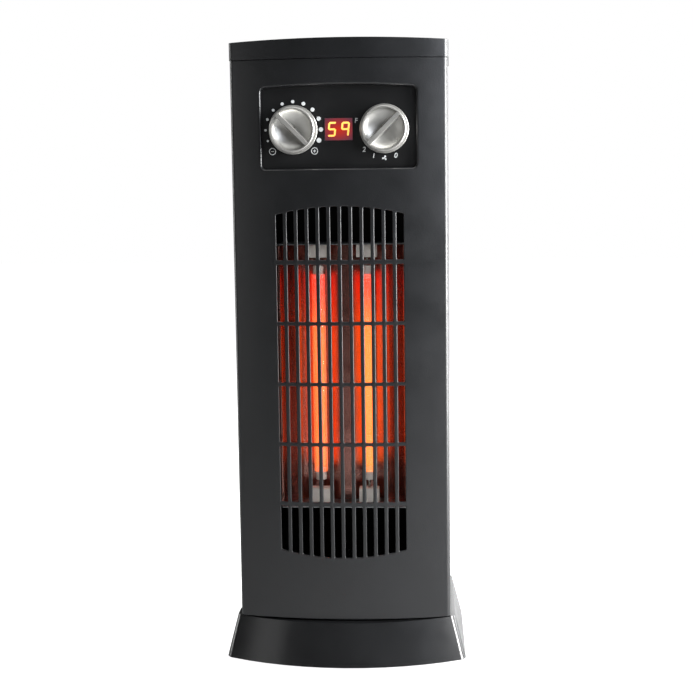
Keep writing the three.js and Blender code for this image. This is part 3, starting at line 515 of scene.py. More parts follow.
@dataclass(frozen=True)
class Glow:
    """A hot or lit surface, or glass with a painted glow, whose glow changes from one end to the other.
    """

    name: str
    skin: str
    glow_low: str
    glow_high: str
    low_mm: float
    high_mm: float
    strength: float
    rough: float = 0.3
    transmission: float = 0.0
    ior: float = 1.46

    def material(self) -> bpy.types.Material:
        """Builds the material."""
        material, tree, shader = start_material(self.name)
        place = add_node(tree, "ShaderNodeTexCoord").outputs["Object"]
        height = add_node(tree, "ShaderNodeSeparateXYZ", {"Vector": place}).outputs["Z"]
        span = {"Value": height, "From Min": self.low_mm * MM, "From Max": self.high_mm * MM}
        share = add_node(tree, "ShaderNodeMapRange", span, interpolation_type="SMOOTHSTEP")
        low, high = linear(self.glow_low), linear(self.glow_high)
        ends = {"Factor": share.outputs["Result"], "A": low, "B": high}
        glow = add_node(tree, "ShaderNodeMix", ends, data_type="RGBA").outputs["Result"]
        looks = {"Emission Color": glow, "Emission Strength": self.strength}
        looks |= {"Base Color": linear(self.skin), "Roughness": self.rough, "IOR": self.ior}
        feed(tree, shader, looks | {"Transmission Weight": self.transmission})
        return material


class Finishes:
    """Every material of the heater, named for what it is and how it was made."""

    def __init__(self) -> None:
        """Builds the materials."""
        # Spark-eroded ABS: a satin charcoal with a fine pebble that breaks up highlights.
        self.casing = Grained("spark_eroded_abs", "#0e0f10", "#151618", 0.28, 0.35, 1.1, 0.13).material()
        # Polished ABS: a deep gloss with a slight orange peel.
        self.base = Grained("polished_abs", "#121213", "#171819", 0.2, 0.26, 4.0, 0.03).material()
        # Etched ABS behind the knobs: flatter and darker than the casing.
        self.fascia = Grained(
            "etched_abs", "#080809", "#0c0d0e", 0.42, 0.5, 0.6, 0.04, ior=1.38
        ).material()
        # Satin paint over moulded ABS: bright and soft, with fine flakes.
        self.silver = Grained(
            "satin_silver_paint", "#b4b3b0", "#a8a7a2", 0.36, 0.44, 0.35, 0.012, metallic=0.8, patch_mm=12
        ).material()
        # Bright-rolled aluminium: near mirror, with faint rolling lines up it; its reddish colour is
        # painted red glow from the tubes.
        self.reflector = Grained(
            "bright_aluminium_painted_red_glow",
            "#b4847a",
            "#9c6c62",
            0.2,
            0.28,
            1.2,
            0.015,
            metallic=1,
            stretch=(6, 6, 0.2),
        ).material()
        # Zinc-plated steel: a cool grey with cloudy patches.
        self.zinc = Grained(
            "zinc_plated_steel", "#a4a7a8", "#8b8f91", 0.3, 0.45, 2.5, 0.02, metallic=1, patch_mm=6
        ).material()
        # Nickel-plated steel: brighter and warmer than the zinc, with fine drawing lines.
        self.nickel = Grained(
            "nickel_plated_steel", "#b8b2a6", "#a39d92", 0.22, 0.32, 0.6, 0.01, metallic=1, patch_mm=8
        ).material()
        # Steatite: a fired, unglazed ceramic, off-white and dry, with pores and a little scorching.
        self.steatite = Grained(
            "fired_steatite", "#f0e9df", "#d6ccc1", 0.7, 0.85, 0.8, 0.06, patch_mm=7
        ).material()
        # Glass-filled nylon for switch bodies: dull black.
        self.switch = Grained("glass_filled_nylon", "#202122", "#292a2b", 0.5, 0.62, 0.8, 0.04).material()
        # Polypropylene for the fan: dark, waxy and a little uneven.
        self.fan = Grained("moulded_polypropylene", "#2b2c2e", "#333538", 0.38, 0.5, 2.0, 0.03).material()
        # Solder mask over a glass-fibre board: glossy green with the weave just showing.
        self.board = Grained(
            "green_solder_mask", "#1d5a35", "#174a2c", 0.28, 0.4, 0.8, 0.02, patch_mm=9
        ).material()
        # Nitrile rubber: matt black with a dusty bloom.
        self.rubber = Grained(
            "nitrile_rubber", "#191919", "#2a2928", 0.75, 0.9, 0.6, 0.05, patch_mm=10
        ).material()
        # Silicone sleeve on the wires: soft white with a slight sheen.
        self.wire = Grained(
            "silicone_sleeve", "#d8d4cb", "#c8c2b6", 0.4, 0.5, 1.0, 0.02, patch_mm=15
        ).material()
        # Pad-printing ink: pale grey, with a slightly uneven cover.
        self.ink = Grained(
            "pad_print_ink", "#cdd0d0", "#bdc0c1", 0.5, 0.6, 0.3, 0.01, patch_mm=3
        ).material()


# ---- studio ------------------------------------------------------------------------------------------


@dataclass
class Softbox:
    """One soft area light."""

    name: str
    place_mm: tuple[float, float, float]
    aim_mm: tuple[float, float, float]
    size_mm: tuple[float, float]
    power: float
    colour: str = "#ffffff"

    def build(self) -> None:
        """Adds the light, turned to its aim."""
        light = bpy.data.lights.new(self.name, "AREA")
        light.shape = "RECTANGLE"
        light.size, light.size_y = (side * MM for side in self.size_mm)
        light.energy = self.power
        light.color = linear(self.colour)[:3]
        lamp = bpy.data.objects.new(self.name, light)
        bpy.context.scene.collection.objects.link(lamp)
        place = Vector(self.place_mm) * MM
        aim = Vector(self.aim_mm) * MM - place
        lamp.matrix_world = Matrix.Translation(place) @ aim.to_track_quat("-Z", "Y").to_matrix().to_4x4()


@dataclass
class Studio:
    """A pale floor, soft lights and the camera."""

    station_mm: tuple[float, float, float] = (99.8, -1408.93, 460.55)
    yaw: float = 0.0711
    pitch: float = 0.1220
    roll: float = -0.0135
    lens_mm: float = 75.38
    film_mm: float = 36.0
    floor_mm: float = 12000.0
    mottle_mm: float = 300.0
    world_seen: float = 1.0
    world_cast: float = 0.095
    floor_seen: float = 1.0
    floor_cast: float = 0.0

    def build(self) -> None:
        """Builds the whole studio."""
        self.set_camera()
        self.lay_floor()
        self.light_world()
        for softbox in self.softboxes():
            softbox.build()

    def set_camera(self) -> None:
        """Stands the camera at its station, looking slightly down."""
        data = bpy.data.cameras.new("viewpoint")
        data.lens = self.lens_mm
        data.sensor_width = self.film_mm
        camera = bpy.data.objects.new("viewpoint", data)
        bpy.context.scene.collection.objects.link(camera)
        level = math.cos(self.pitch)
        ahead = Vector((-math.sin(self.yaw) * level, math.cos(self.yaw) * level, -math.sin(self.pitch)))
        right = Vector((math.cos(self.yaw), math.sin(self.yaw), 0))
        up = right.cross(ahead)
        turned_right = math.cos(self.roll) * right + math.sin(self.roll) * up
        turned_up = math.cos(self.roll) * up - math.sin(self.roll) * right
        turn = Matrix((turned_right, turned_up, -ahead)).transposed().to_4x4()
        camera.matrix_world = Matrix.Translation(Vector(self.station_mm) * MM) @ turn
        bpy.context.scene.camera = camera

    def lay_floor(self) -> None:
        """Lays a pale floor with a faint mottle, under everything."""
        deselect()
        bpy.ops.mesh.primitive_plane_add(size=self.floor_mm * MM)
        floor = settle(bpy.context.object, "studio_floor")
        material, tree, shader = start_material("white_paper_floor")
        mottle = noise(tree, self.mottle_mm, (1, 1, 1))
        shades = {"Factor": mottle, "A": linear("#b6b6b6"), "B": linear("#bebebe")}
        colour = add_node(tree, "ShaderNodeMix", shades, data_type="RGBA")
        strength = self.seen_or_cast(tree, self.floor_seen, self.floor_cast)
        looks = {"Base Color": colour.outputs["Result"], "Roughness": 0.9, "Specular IOR Level": 0.0}
        looks |= {"Emission Color": linear("#ffffff"), "Emission Strength": strength}
        feed(tree, shader, looks)
        floor.data.materials.append(material)

    @staticmethod
    def seen_or_cast(tree: Tree, seen: float, cast: float) -> bpy.types.NodeSocket:
        """One strength for what is looked at directly, and another for the light that it gives.

        Args:
            tree: The tree of the floor or of the surround.
            seen: The strength that is looked at.
            cast: The strength that lights the heater.

        Returns:
            The strength's output.
        """
        direct = add_node(tree, "ShaderNodeLightPath").outputs["Is Camera Ray"]
        strength = {"Value": direct, "To Min": cast, "To Max": seen}
        return add_node(tree, "ShaderNodeMapRange", strength).outputs["Result"]

    def light_world(self) -> None:
        """A white surround that lights the heater more softly than it looks."""
        world = bpy.data.worlds.new("white_surround")
        world.use_nodes = True
        tree = world.node_tree
        strength = self.seen_or_cast(tree, self.world_seen, self.world_cast)
        feed(tree, tree.nodes["Background"], {"Color": linear("#ffffff"), "Strength": strength})
        bpy.context.scene.world = world
        bpy.context.scene.view_settings.view_transform = "Standard"

    def softboxes(self) -> list[Softbox]:
        """The soft lights round the heater."""
        middle = (0.0, 0.0, 320.0)
        return [
            Softbox("softbox_overhead", (0, -500, 1900), middle, (1500, 1100), 13),
            Softbox("softbox_right_front", (1150, -1150, 950), (0, 0, 700), (500, 760), 12, "#eef4ff"),
            Softbox("softbox_right_side", (1500, -430, 560), (0, 0, 400), (520, 1150), 108),
            Softbox("softbox_left_front", (-1150, -1150, 420), (0, 0, 330), (500, 900), 1.5),
            Softbox("softbox_right_rim", (900, 420, 500), middle, (420, 1300), 24),
            Softbox("softbox_left_rim", (-1300, 300, 500), middle, (300, 1200), 9),
            Softbox("softbox_behind", (300, 1700, 900), middle, (900, 1100), 9),
        ]


# ---- the heater's sub-assemblies ---------------------------------------------------------------------


@dataclass
class FrontPanel:
    """The bowed front moulding, with its grille, its control recess and its side returns.

    It is modelled flat, where U runs along the outside of its plan and Y is the depth in its wall, and
    is then wrapped round the plan.
    """

    wall: float = 3.0
    bow: float = 13.4
    corner: float = 5.0
    columns: int = 12
    rows: int = 6
    pitch: float = 10.0
    slot: float = 6.4
    slot_corner: float = 1.1
    rib_round: float = 1.15
    end_round: float = 0.5
    lean_back: float = 20.0
    grille_low: float = 109.2
    grille_high: float = 420.9
    grille_crown: float = 7.4
    crown_overrun: float = 1.0
    end_row: float = 43.4
    bar: float = 3.2
    end_bar: float = 4.0
    recess_half: float = 70.25
    recess_low: float = 462.4
    recess_high: float = 534.9
    recess_crown: float = 2.2
    recess_corner: float = 3.5
    recess_round: float = 2.1
    collar: float = 2.5
    fascia_gap: float = 0.3
    strips: int = 52
    corner_strips: int = 8
    through: float = 6.0

    def __post_init__(self) -> None:
        """Works out the plan from the CAD panel's box."""
        low, high = node_size("front_panel")
        self.half = high.x
        self.front = low.y
        self.low, self.high = low.z, high.z
        chord = 2 * self.half
        self.bow_radius = chord * chord / (8 * self.bow) + self.bow / 2
        self.bow_centre = self.front + self.bow_radius
        reach = self.bow_radius - self.corner
        self.corner_x = self.half - self.corner
        self.corner_tilt = math.asin(self.corner_x / reach)
        self.corner_y = self.bow_centre - reach * math.cos(self.corner_tilt)
        self.bow_end = self.bow_radius * math.sin(self.corner_tilt)
        self.corner_end = self.bow_end + self.corner * (math.pi / 2 - self.corner_tilt)
        self.edge = self.corner_end + (high.y - self.corner_y)
        self.collar_back = node_size("control_fascia")[0].y - self.fascia_gap

    def arch(self, x: float, half: float, crown: float) -> float:
        """Height of an arch over its ends, at x from its middle."""
        radius = (2 * half) ** 2 / (8 * crown) + crown / 2
        return math.sqrt(radius * radius - x * x) - (radius - crown)

    def build(self, finishes: Finishes) -> None:
        """Builds and dresses the panel."""
        near, far = (-self.edge, 0, self.low), (self.edge, self.wall, self.high)
        panel = add_block("front_panel_moulding", near, far)
        combine(panel, self.collar_block(), "UNION")
        combine(panel, self.recess_block(0, -self.through, 3 * self.through))
        combine(panel, self.slot_blocks())
        self.round_openings(panel)
        self.wrap(panel)
        smooth(panel, 38)
        finish_piece(panel, finishes.casing, ["front_panel"])

    def recess_block(self, grow: float, front: float, back: float) -> Piece:
        """A block with the recess's outline, crowned along its top.

        Args:
            grow: How far it stands out past the recess.
            front: The depth of its front.
            back: The depth of its back.

        Returns:
            The block, in the flat.
        """
        half = self.recess_half + grow
        top = self.recess_high + grow
        block = add_block("recess_tool", (-half, front, self.recess_low - grow), (half, back, top))
        round_edges(block, self.recess_corner + grow, along(1), segments=5)
        crown_lines = [half * (i / 8 - 1) for i in range(1, 16)]
        slice_across(block, 0, crown_lines)
        middle = (self.recess_low + self.recess_high) / 2 * MM

        def crown(point: Vector) -> Vector:
            """Lifts the upper half of the outline to its arch."""
            lift = self.arch(point.x / MM, half, self.recess_crown) if point.z > middle else 0
            return point + Vector((0, 0, max(lift, 0) * MM))

        move_points(block, crown)
        return block

    def collar_block(self) -> Piece:
        """The collar round the recess, as a block that starts inside the wall."""
        return self.recess_block(self.collar, self.wall / 2, 2 * self.through)

    def row_ends(self) -> list[tuple[float, float]]:
        """The lower and upper edge of each row of slots."""
        first = self.grille_low + self.end_row
        last = self.grille_high - self.end_row
        step = (last - first) / (self.rows - 2)
        heights = [self.end_bar] + [self.bar] * (self.rows - 3) + [self.end_bar]
        bars = [(first + i * step, height) for i, height in enumerate(heights)]
        lows = [self.grille_low] + [place + height / 2 for place, height in bars]
        highs = [place - height / 2 for place, height in bars] + [self.grille_high]
        return list(zip(lows, highs))

    def slot_blocks(self) -> Piece:
        """All the slots as one tool: a row is one block, rounded and repeated along the row."""
        half_row = (self.columns - 1) * self.pitch / 2
        tools = []
        for number, (low, high) in enumerate(self.row_ends()):
            name = f"slot_tool_{number}"
            left = -half_row - self.slot / 2
            tool = add_block(name, (left, -self.through, low), (left + self.slot, self.through, high))
            round_edges(tool, self.slot_corner, along(1), segments=3)
            offset = (self.pitch * MM, 0, 0)
            apply_modifier(
                tool,
                "ARRAY",
                count=self.columns,
                use_relative_offset=False,
                use_constant_offset=True,
                constant_offset_displace=offset,
            )
            tools.append(tool)
        slots = join("slot_tools", tools)
        reach = half_row + self.slot / 2 + self.crown_overrun

        def crown(point: Vector) -> Vector:
            """Moves the outer ends of the end rows to the grille's arches."""
            height = point.z / MM
            lift = self.arch(point.x / MM, reach, self.grille_crown)
            if height > self.grille_high - self.end_row / 2:
                return point + Vector((0, 0, lift * MM))
            if height < self.grille_low + self.end_row / 2:
                return point - Vector((0, 0, lift * MM))
            return point

        move_points(slots, crown)
        return slots

    def round_openings(self, panel: Piece) -> None:
        """Rounds the front edges of the slots, of the recess and of the panel's ends."""
        split = (self.grille_high + self.recess_low) / 2 * MM
        hair = 0.01 * MM

        def at_front(a: Vector, b: Vector) -> bool:
            """Both ends lie in the front face."""
            return abs(a.y) < hair and abs(b.y) < hair

        def in_grille(a: Vector, b: Vector) -> bool:
            """An edge of a slot."""
            return at_front(a, b) and self.low * MM + hair < min(a.z, b.z) and max(a.z, b.z) < split

        def in_recess(a: Vector, b: Vector) -> bool:
            """An edge of the recess."""
            return at_front(a, b) and split < min(a.z, b.z) and max(a.z, b.z) < self.high * MM - hair

        def at_ends(a: Vector, b: Vector) -> bool:
            """An edge along the top or the bottom."""
            return at_front(a, b) and lying_at(2, self.low * MM, self.high * MM)(a, b)

        round_edges(panel, self.rib_round, in_grille, segments=4)
        round_edges(panel, self.recess_round, in_recess, segments=4)
        round_edges(panel, self.end_round, at_ends, segments=2)

    def wrap(self, panel: Piece) -> None:
        """Cuts the flat panel into strips and wraps it round its plan."""
        edit(panel)
        bpy.ops.mesh.quads_convert_to_tris()
        bpy.ops.object.mode_set(mode="OBJECT")
        across = [self.bow_end * (2 * i / self.strips - 1) for i in range(self.strips + 1)]
        step = (self.corner_end - self.bow_end) / self.corner_strips
        corners = [self.bow_end + step * i for i in range(1, self.corner_strips + 1)]
        slice_across(panel, 0, across + corners + [-u for u in corners])
        move_points(panel, self.place_on_plan)

    def place_on_plan(self, point: Vector) -> Vector:
        """Takes a point of the flat panel to its place on the bowed one.

        Args:
            point: Its place in the flat, in metres.

        Returns:
            Its place on the heater, in metres.
        """
        side = -1 if point.x < 0 else 1
        along_plan, depth = abs(point.x) / MM, point.y / MM
        if along_plan <= self.bow_end:
            x = along_plan
            y = self.bow_centre - math.sqrt(self.bow_radius**2 - x * x)
            lean = math.asin(x / self.bow_radius) * max(0, 1 - (self.bow_end - x) / self.lean_back)
            x_in, y_in = -math.sin(lean), math.cos(lean)
            if depth > self.wall + 0.01:
                return Vector((side * x, self.collar_back, point.z / MM)) * MM
        elif along_plan <= self.corner_end:
            tilt = self.corner_tilt + (along_plan - self.bow_end) / self.corner
            x = self.corner_x + self.corner * math.sin(tilt)
            y = self.corner_y - self.corner * math.cos(tilt)
            x_in, y_in = -math.sin(tilt), math.cos(tilt)
        else:
            x, y = self.half, self.corner_y + along_plan - self.corner_end
            x_in, y_in = -1, 0
        return Vector((side * (x + depth * x_in), y + depth * y_in, point.z / MM)) * MM


@dataclass
class Enclosure:
    """The cap, the base, the rear housing and what is fixed to them."""

    soft_edge: float = 1.4
    fine_edge: float = 0.5
    membrane: float = 0.8
    membrane_radius: float = 5.0
    membrane_edge: float = 0.2
    cap_edge: float = 1.6
    housing_edge: float = 0.6
    cup_edge: float = 1.0
    screw_edge: float = 0.3

    def build(self, finishes: Finishes) -> None:
        """Builds and dresses every outer piece but the front panel."""
        finish_node("top_cap", self.cap_edge, 4, finishes.casing)
        finish_node("base", self.soft_edge, 4, finishes.base)
        finish_node("rear_housing", self.housing_edge, 2, finishes.casing)
        finish_node("handle_cup", self.cup_edge, 3, finishes.fascia)
        self.build_gland(finishes)
        for node in sorted(frame["nodes"]):
            if node.startswith("foot_"):
                finish_node(node, self.fine_edge, 3, finishes.rubber)
            if "_screw_" in node:
                finish_node(node, self.screw_edge, 2, finishes.zinc)

    def build_gland(self, finishes: Finishes) -> None:
        """The cord's inlet gland, with the thin membrane that a cord is pushed through."""
        node = "cord_inlet_gland"
        low, high = node_size(node)
        gland = soften(merged_copy(node), self.fine_edge, 3)
        centre = (low + high) / 2
        membrane = add_rod("membrane", self.membrane_radius, self.membrane)
        round_edges(membrane, self.membrane_edge, lying_at(2, 0, self.membrane * MM), segments=2)
        place = Matrix.Translation(centre * MM)
        membrane.matrix_world = place @ Matrix.Rotation(math.pi / 2, 4, "X")
        settle(membrane, "membrane")
        combine(gland, membrane, "UNION")
        smooth(gland, 35)
        finish_piece(gland, finishes.rubber, [node])


@dataclass
class Dial:
    """One rotary control: a dished silver knob with a ridge across it."""

    node: str
    body: Body
    pointing: float
    flange: float = 2.2
    waist: float = 20.9
    brim: float = 20.2
    brim_width: float = 1.5
    brim_height: float = 12.5
    dish_depth: float = 6.5
    dish_rings: int = 7
    ridge_width: float = 3.4
    ridge_root: float = 6.6
    ridge_edge: float = 0.55
    ridge_rise: float = 1.6
    ridge_sunk: float = 0.6
    ridge_inset: float = 0.5
    ridge_end_inset: float = 0.2
    flange_slope: float = 0.4
    brim_slope: float = 0.5
    brim_rise: float = 0.45
    dish_sweep: float = 0.9
    dish_fall: float = 1.5
    sides: int = 96

    def build(self, finishes: Finishes) -> None:
        """Builds and dresses the knob."""
        low, high = node_size(self.node)
        radius = (high.x - low.x) / 2
        knob = self.turned_body(radius, high.y - low.y)
        combine(knob, self.ridge(high.y - low.y), "UNION")
        round_edges(knob, self.ridge_edge, self.on_ridge, sharp=28, segments=3)
        self.stand(knob, (low + high) / 2, high.y)
        smooth(knob, 40)
        finish_piece(knob, finishes.silver, [self.node], self.body)

    def turned_body(self, radius: float, height: float) -> Piece:
        """The round part, made on +Z: flange, tapered side, brim and dish.

        Args:
            radius: The flange's radius.
            height: The knob's whole height.

        Returns:
            The body, with its back at the origin.
        """
        body = add_rod(self.node + "_moulding", radius, self.flange, sides=self.sides)
        brim_height = min(self.brim_height, height)
        inner = self.brim - self.brim_width
        steps = [(radius - self.flange_slope, self.flange_slope), (self.waist, 0.0)]
        steps += [(self.brim, brim_height - self.flange - self.flange_slope)]
        steps += [(self.brim - self.brim_slope, self.brim_rise), (inner, 0.0)]
        for ring in range(1, self.dish_rings + 1):
            share = ring / (self.dish_rings + 1)
            sweep = (share - 1 / self.dish_rings) * math.pi / 2 * self.dish_sweep
            fall = self.dish_depth * (math.cos(sweep) / self.dish_rings)
            steps.append((inner * math.cos(share * math.pi / 2), -fall * self.dish_fall))
        edit(body, "FACE")
        working = bmesh.from_edit_mesh(body.data)
        max(working.faces, key=face_height).select_set(True)
        bmesh.update_edit_mesh(body.data)
        current = radius
        for next_radius, rise in steps:
            bpy.ops.mesh.extrude_region_move(TRANSFORM_OT_translate={"value": (0, 0, rise * MM)})
            share = next_radius / current
            bpy.ops.transform.resize(value=(share, share, 1), center_override=(0, 0, 0))
            current = next_radius
        bpy.ops.object.mode_set(mode="OBJECT")
        return body

    def ridge(self, height: float) -> Piece:
        """The grip across the dish, tapered to its top, made along +X."""
        reach = self.brim - self.ridge_inset
        foot = self.flange + self.ridge_inset
        half = self.ridge_root / 2
        top = self.brim_height + self.ridge_rise
        ridge = add_block("ridge_tool", (-reach, -half, foot), (reach, half, top))
        share = self.ridge_width / self.ridge_root

        def taper(point: Vector) -> Vector:
            """Brings the top's two sides in."""
            return Vector((point.x, point.y * (share if point.z > foot * MM * 2 else 1), point.z))

        move_points(ridge, taper)
        reach = self.brim - self.ridge_end_inset
        end = add_rod("ridge_end", reach, height, sides=self.sides)
        combine(ridge, end, "INTERSECT")
        return ridge

    def on_ridge(self, a: Vector, b: Vector) -> bool:
        """An edge of the ridge above the dish's middle."""
        top = (self.brim_height - self.ridge_sunk) * MM
        inside = max(abs(a.y), abs(b.y)) < self.ridge_root / 2 * MM
        return inside and min(a.z, b.z) > top

    def stand(self, knob: Piece, centre: Vector, back: float) -> None:
        """Turns the knob to face the front and to point at its mark.

        Args:
            knob: The knob, made on +Z.
            centre: The middle of the CAD knob's box.
            back: The depth of its back.
        """
        tip_forward = Matrix.Rotation(math.pi / 2, 4, "X")
        turn = Matrix.Rotation(math.radians(self.pointing - 90), 4, "Y")
        place = Matrix.Translation(Vector((centre.x, back, centre.z)) * MM)
        knob.matrix_world = place @ turn @ tip_forward
        settle(knob, knob.name)


@dataclass
class Controls:
    """The fascia with its printed marks, the two dials and the display."""

    fascia_edge: float = 0.3
    window_edge: float = 0.4
    print_height: float = 0.15
    print_edge: float = 0.08
    dots: int = 11
    dot_start: float = 247.5
    dot_step: float = 22.5
    dot_ring: float = 25.3
    dot_small: float = 1.0
    dot_large: float = 2.2
    icon_ring: float = 27.2
    icon_radius: float = 2.9
    icon_line: float = 0.28
    icon_arm: float = 1.3
    fan_hub: float = 0.6
    fan_blade: float = 0.85
    fan_reach: float = 1.45
    fan_turn: float = 20.0
    mode_ring: float = 26.4
    unit_right: float = 3.2
    unit_down: float = 2.6
    figure_height: float = 4.6
    type_to_figure: float = 1.35
    figure_slant: float = 0.15
    figure_swell: float = 0.05
    digit_height: float = 13.2
    digit_width: float = 7.6
    digit_spacing: float = 12.0
    segment: float = 1.7
    segment_point: float = 0.45
    slant: float = 0.11
    painted_glow_fade: float = 0.6
    painted_glow_stretch: float = 0.75
    painted_glow_cloud: float = 0.12
    painted_glow_cloud_mm: float = 3.0

    def build(self, finishes: Finishes) -> None:
        """Builds and dresses the controls."""
        finish_node("control_fascia", self.fascia_edge, 2, finishes.fascia)
        Dial("thermostat_knob", Body.THERMOSTAT, 135.0).build(finishes)
        Dial("mode_knob", Body.MODE, 225.0).build(finishes)
        self.print_marks(finishes)
        self.light_display()

    def around(self, node: str, clock: float, radius: float) -> Vector:
        """A place on the fascia, by the clock round a knob, in millimetres."""
        low, high = node_size(node)
        angle = math.radians(clock)
        x = (low.x + high.x) / 2 + radius * math.sin(angle)
        z = (low.z + high.z) / 2 + radius * math.cos(angle)
        return Vector((x, node_size("control_fascia")[0].y, z))

    def print_marks(self, finishes: Finishes) -> None:
        """Prints the dots, the two end marks and the mode figures, as thin raised ink."""
        marks = []
        for i in range(self.dots):
            radius = self.dot_small + (self.dot_large - self.dot_small) * i / (self.dots - 1)
            place = self.around("thermostat_knob", self.dot_start + i * self.dot_step, self.dot_ring)
            marks.append(self.dot(place, radius))
        for clock, plus in ((225.0, False), (135.0, True)):
            place = self.around("thermostat_knob", clock, self.icon_ring)
            marks += self.end_mark(place, plus)
        for clock, figure in ((225.0, "2"), (202.5, "1"), (157.5, "0")):
            marks.append(self.figure(figure, self.around("mode_knob", clock, self.mode_ring)))
        marks += self.fan_mark(self.around("mode_knob", 180.0, self.mode_ring))
        lens_high = node_size("display_lens")[1]
        x, z = lens_high.x + self.unit_right, lens_high.z - self.unit_down
        place = Vector((x, node_size("control_fascia")[0].y, z))
        marks.append(self.figure("F", place))
        inked = join("printed_dial_marks", marks)
        finish_piece(inked, finishes.ink)

    def dot(self, place: Vector, radius: float, name: str = "dot") -> Piece:
        """A printed dot with a soft rim."""
        deselect()
        thickness = 2 * self.print_height
        bpy.ops.mesh.primitive_cylinder_add(
            vertices=24,
            radius=radius * MM,
            depth=thickness * MM,
            location=place * MM,
            rotation=(math.pi / 2, 0, 0),
        )
        mark = settle(bpy.context.object, name)
        front = (place.y - self.print_height) * MM
        round_edges(mark, self.print_edge, lying_at(1, front), segments=2)
        return mark

    def end_mark(self, place: Vector, plus: bool) -> list[Piece]:
        """A ring with a minus or a plus in it."""
        deselect()
        bpy.ops.mesh.primitive_torus_add(
            major_segments=32,
            minor_segments=8,
            major_radius=self.icon_radius * MM,
            minor_radius=self.icon_line * MM,
            location=place * MM,
            rotation=(math.pi / 2, 0, 0),
        )
        ring = bpy.context.object
        ring.scale = (1, 1, self.print_height / self.icon_line)
        marks = [settle(ring, "end_mark_ring")]
        arms = [(self.icon_arm, self.icon_line), (self.icon_line, self.icon_arm)][: 2 if plus else 1]
        for half_x, half_z in arms:
            reach = Vector((half_x, self.print_height, half_z))
            marks.append(add_block("end_mark_arm", place - reach, place + reach))
        return marks

    def figure(self, text: str, place: Vector) -> Piece:
        """A printed figure, centred on its place."""
        deselect()
        bpy.ops.object.text_add()
        writing = bpy.context.object
        writing.data.body = text
        writing.data.size = self.figure_height * MM * self.type_to_figure
        writing.data.align_x, writing.data.align_y = "CENTER", "CENTER"
        writing.data.shear = self.figure_slant
        writing.data.extrude = self.print_height * MM
        writing.data.offset = self.figure_swell * MM
        bpy.ops.object.convert(target="MESH")
        writing = bpy.context.object
        writing.matrix_world = Matrix.Translation(place * MM) @ Matrix.Rotation(math.pi / 2, 4, "X")
        return settle(writing, "figure_" + text)

    def fan_mark(self, place: Vector) -> list[Piece]:
        """Three small blades round a hub, for the fan setting."""
        marks = [self.dot(place, self.fan_hub, "fan_mark_hub")]
        for i in range(3):
            angle = math.radians(120 * i + self.fan_turn)
            offset = Vector((math.sin(angle), 0, math.cos(angle))) * self.fan_reach
            marks.append(self.dot(place + offset, self.fan_blade, "fan_mark_blade"))
        return marks

    def light_display(self) -> None:
        """The filter window, with two slanted figures glowing in it."""
        low, high = node_size("display_lens")
        tinted = self.filter_material(low, high)
        finish_node("display_lens", self.window_edge, 3, tinted)
        lit = Glow("lit_segments", "#ffb860", "#ffab48", "#ffd468", low.z, high.z, 1.0).material()
        middle = (low + high) / 2
        patterns = {"tens": "afgcd", "units": "abfgc"}
        for (name, pattern), side in zip(patterns.items(), (-1, 1)):
            centre = Vector((middle.x + side * self.digit_spacing / 2, low.y, middle.z))
            bars = [self.segment_bar(letter, centre) for letter in pattern]
            finish_piece(join("display_" + name, bars), lit)

    def segment_bar(self, letter: str, centre: Vector) -> Piece:
        """One lit bar of a figure, pointed at its ends and slanted.

        Args:
            letter: Its place in the figure, a to g.
            centre: The figure's middle on the window's face.

        Returns:
            The bar.
        """
        half_x, half_z = (self.digit_width - self.segment) / 2, (self.digit_height - self.segment) / 2
        places = {"a": (0, half_z), "g": (0, 0), "d": (0, -half_z)}
        places |= {"b": (half_x, half_z / 2), "c": (half_x, -half_z / 2)}
        places |= {"f": (-half_x, half_z / 2), "e": (-half_x, -half_z / 2)}
        x, z = places[letter]
        flat = letter in "agd"
        reach_x = half_x if flat else self.segment / 2
        reach_z = self.segment / 2 if flat else half_z / 2
        place = centre + Vector((x, 0, z))
        reach = Vector((reach_x, self.print_height, reach_z))
        bar = add_block("bar", place - reach, place + reach)
        round_edges(bar, self.segment * self.segment_point, along(1), segments=3)

        def lean(point: Vector) -> Vector:
            """Leans the figure to the right."""
            return point + Vector(((point.z - centre.z * MM) * self.slant, 0, 0))

        move_points(bar, lean)
        return bar

    def filter_material(self, low: Vector, high: Vector) -> bpy.types.Material:
        """Tinted acrylic with a painted glow: mauve at its rim and red where the figures light it from
        behind.
        """
        material, tree, shader = start_material("tinted_acrylic_painted_glow")
        place = add_node(tree, "ShaderNodeTexCoord").outputs["Object"]
        middle = (low + high) / 2 * MM
        centred = {"Vector": place, "Location": (-middle.x, 0, -middle.z)}
        centred_at = add_node(tree, "ShaderNodeMapping", centred).outputs["Vector"]
        reach = 1 / ((high.z - low.z) * self.painted_glow_fade * MM)
        scaled = {"Vector": centred_at, "Scale": (reach * self.painted_glow_stretch, 0, reach)}
        spread = add_node(tree, "ShaderNodeMapping", scaled).outputs["Vector"]
        fade = add_node(tree, "ShaderNodeTexGradient", {"Vector": spread}, gradient_type="SPHERICAL")
        cloud = noise(tree, self.painted_glow_cloud_mm, (1, 1, 1))
        faint = add_node(tree, "ShaderNodeMath", {0: cloud, 1: self.painted_glow_cloud}, operation="MULTIPLY")
        uneven = {0: fade.outputs["Fac"], 1: faint.outputs[0]}
        share = add_node(tree, "ShaderNodeMath", uneven, operation="ADD", use_clamp=True).outputs[0]
        colours = {"Factor": share, "A": linear("#5a3c4c"), "B": linear("#e0361c")}
        glow = add_node(tree, "ShaderNodeMix", colours, data_type="RGBA").outputs["Result"]
        # The emission is painted glow: the figures' light spread through the filter, red in the middle
        # and mauve at the rim, made uneven by noise.
        looks = {"Emission Color": glow, "Emission Strength": 0.75, "Base Color": linear("#3a0c10")}
        feed(tree, shader, looks | {"Roughness": 0.15, "IOR": 1.49})
        return material


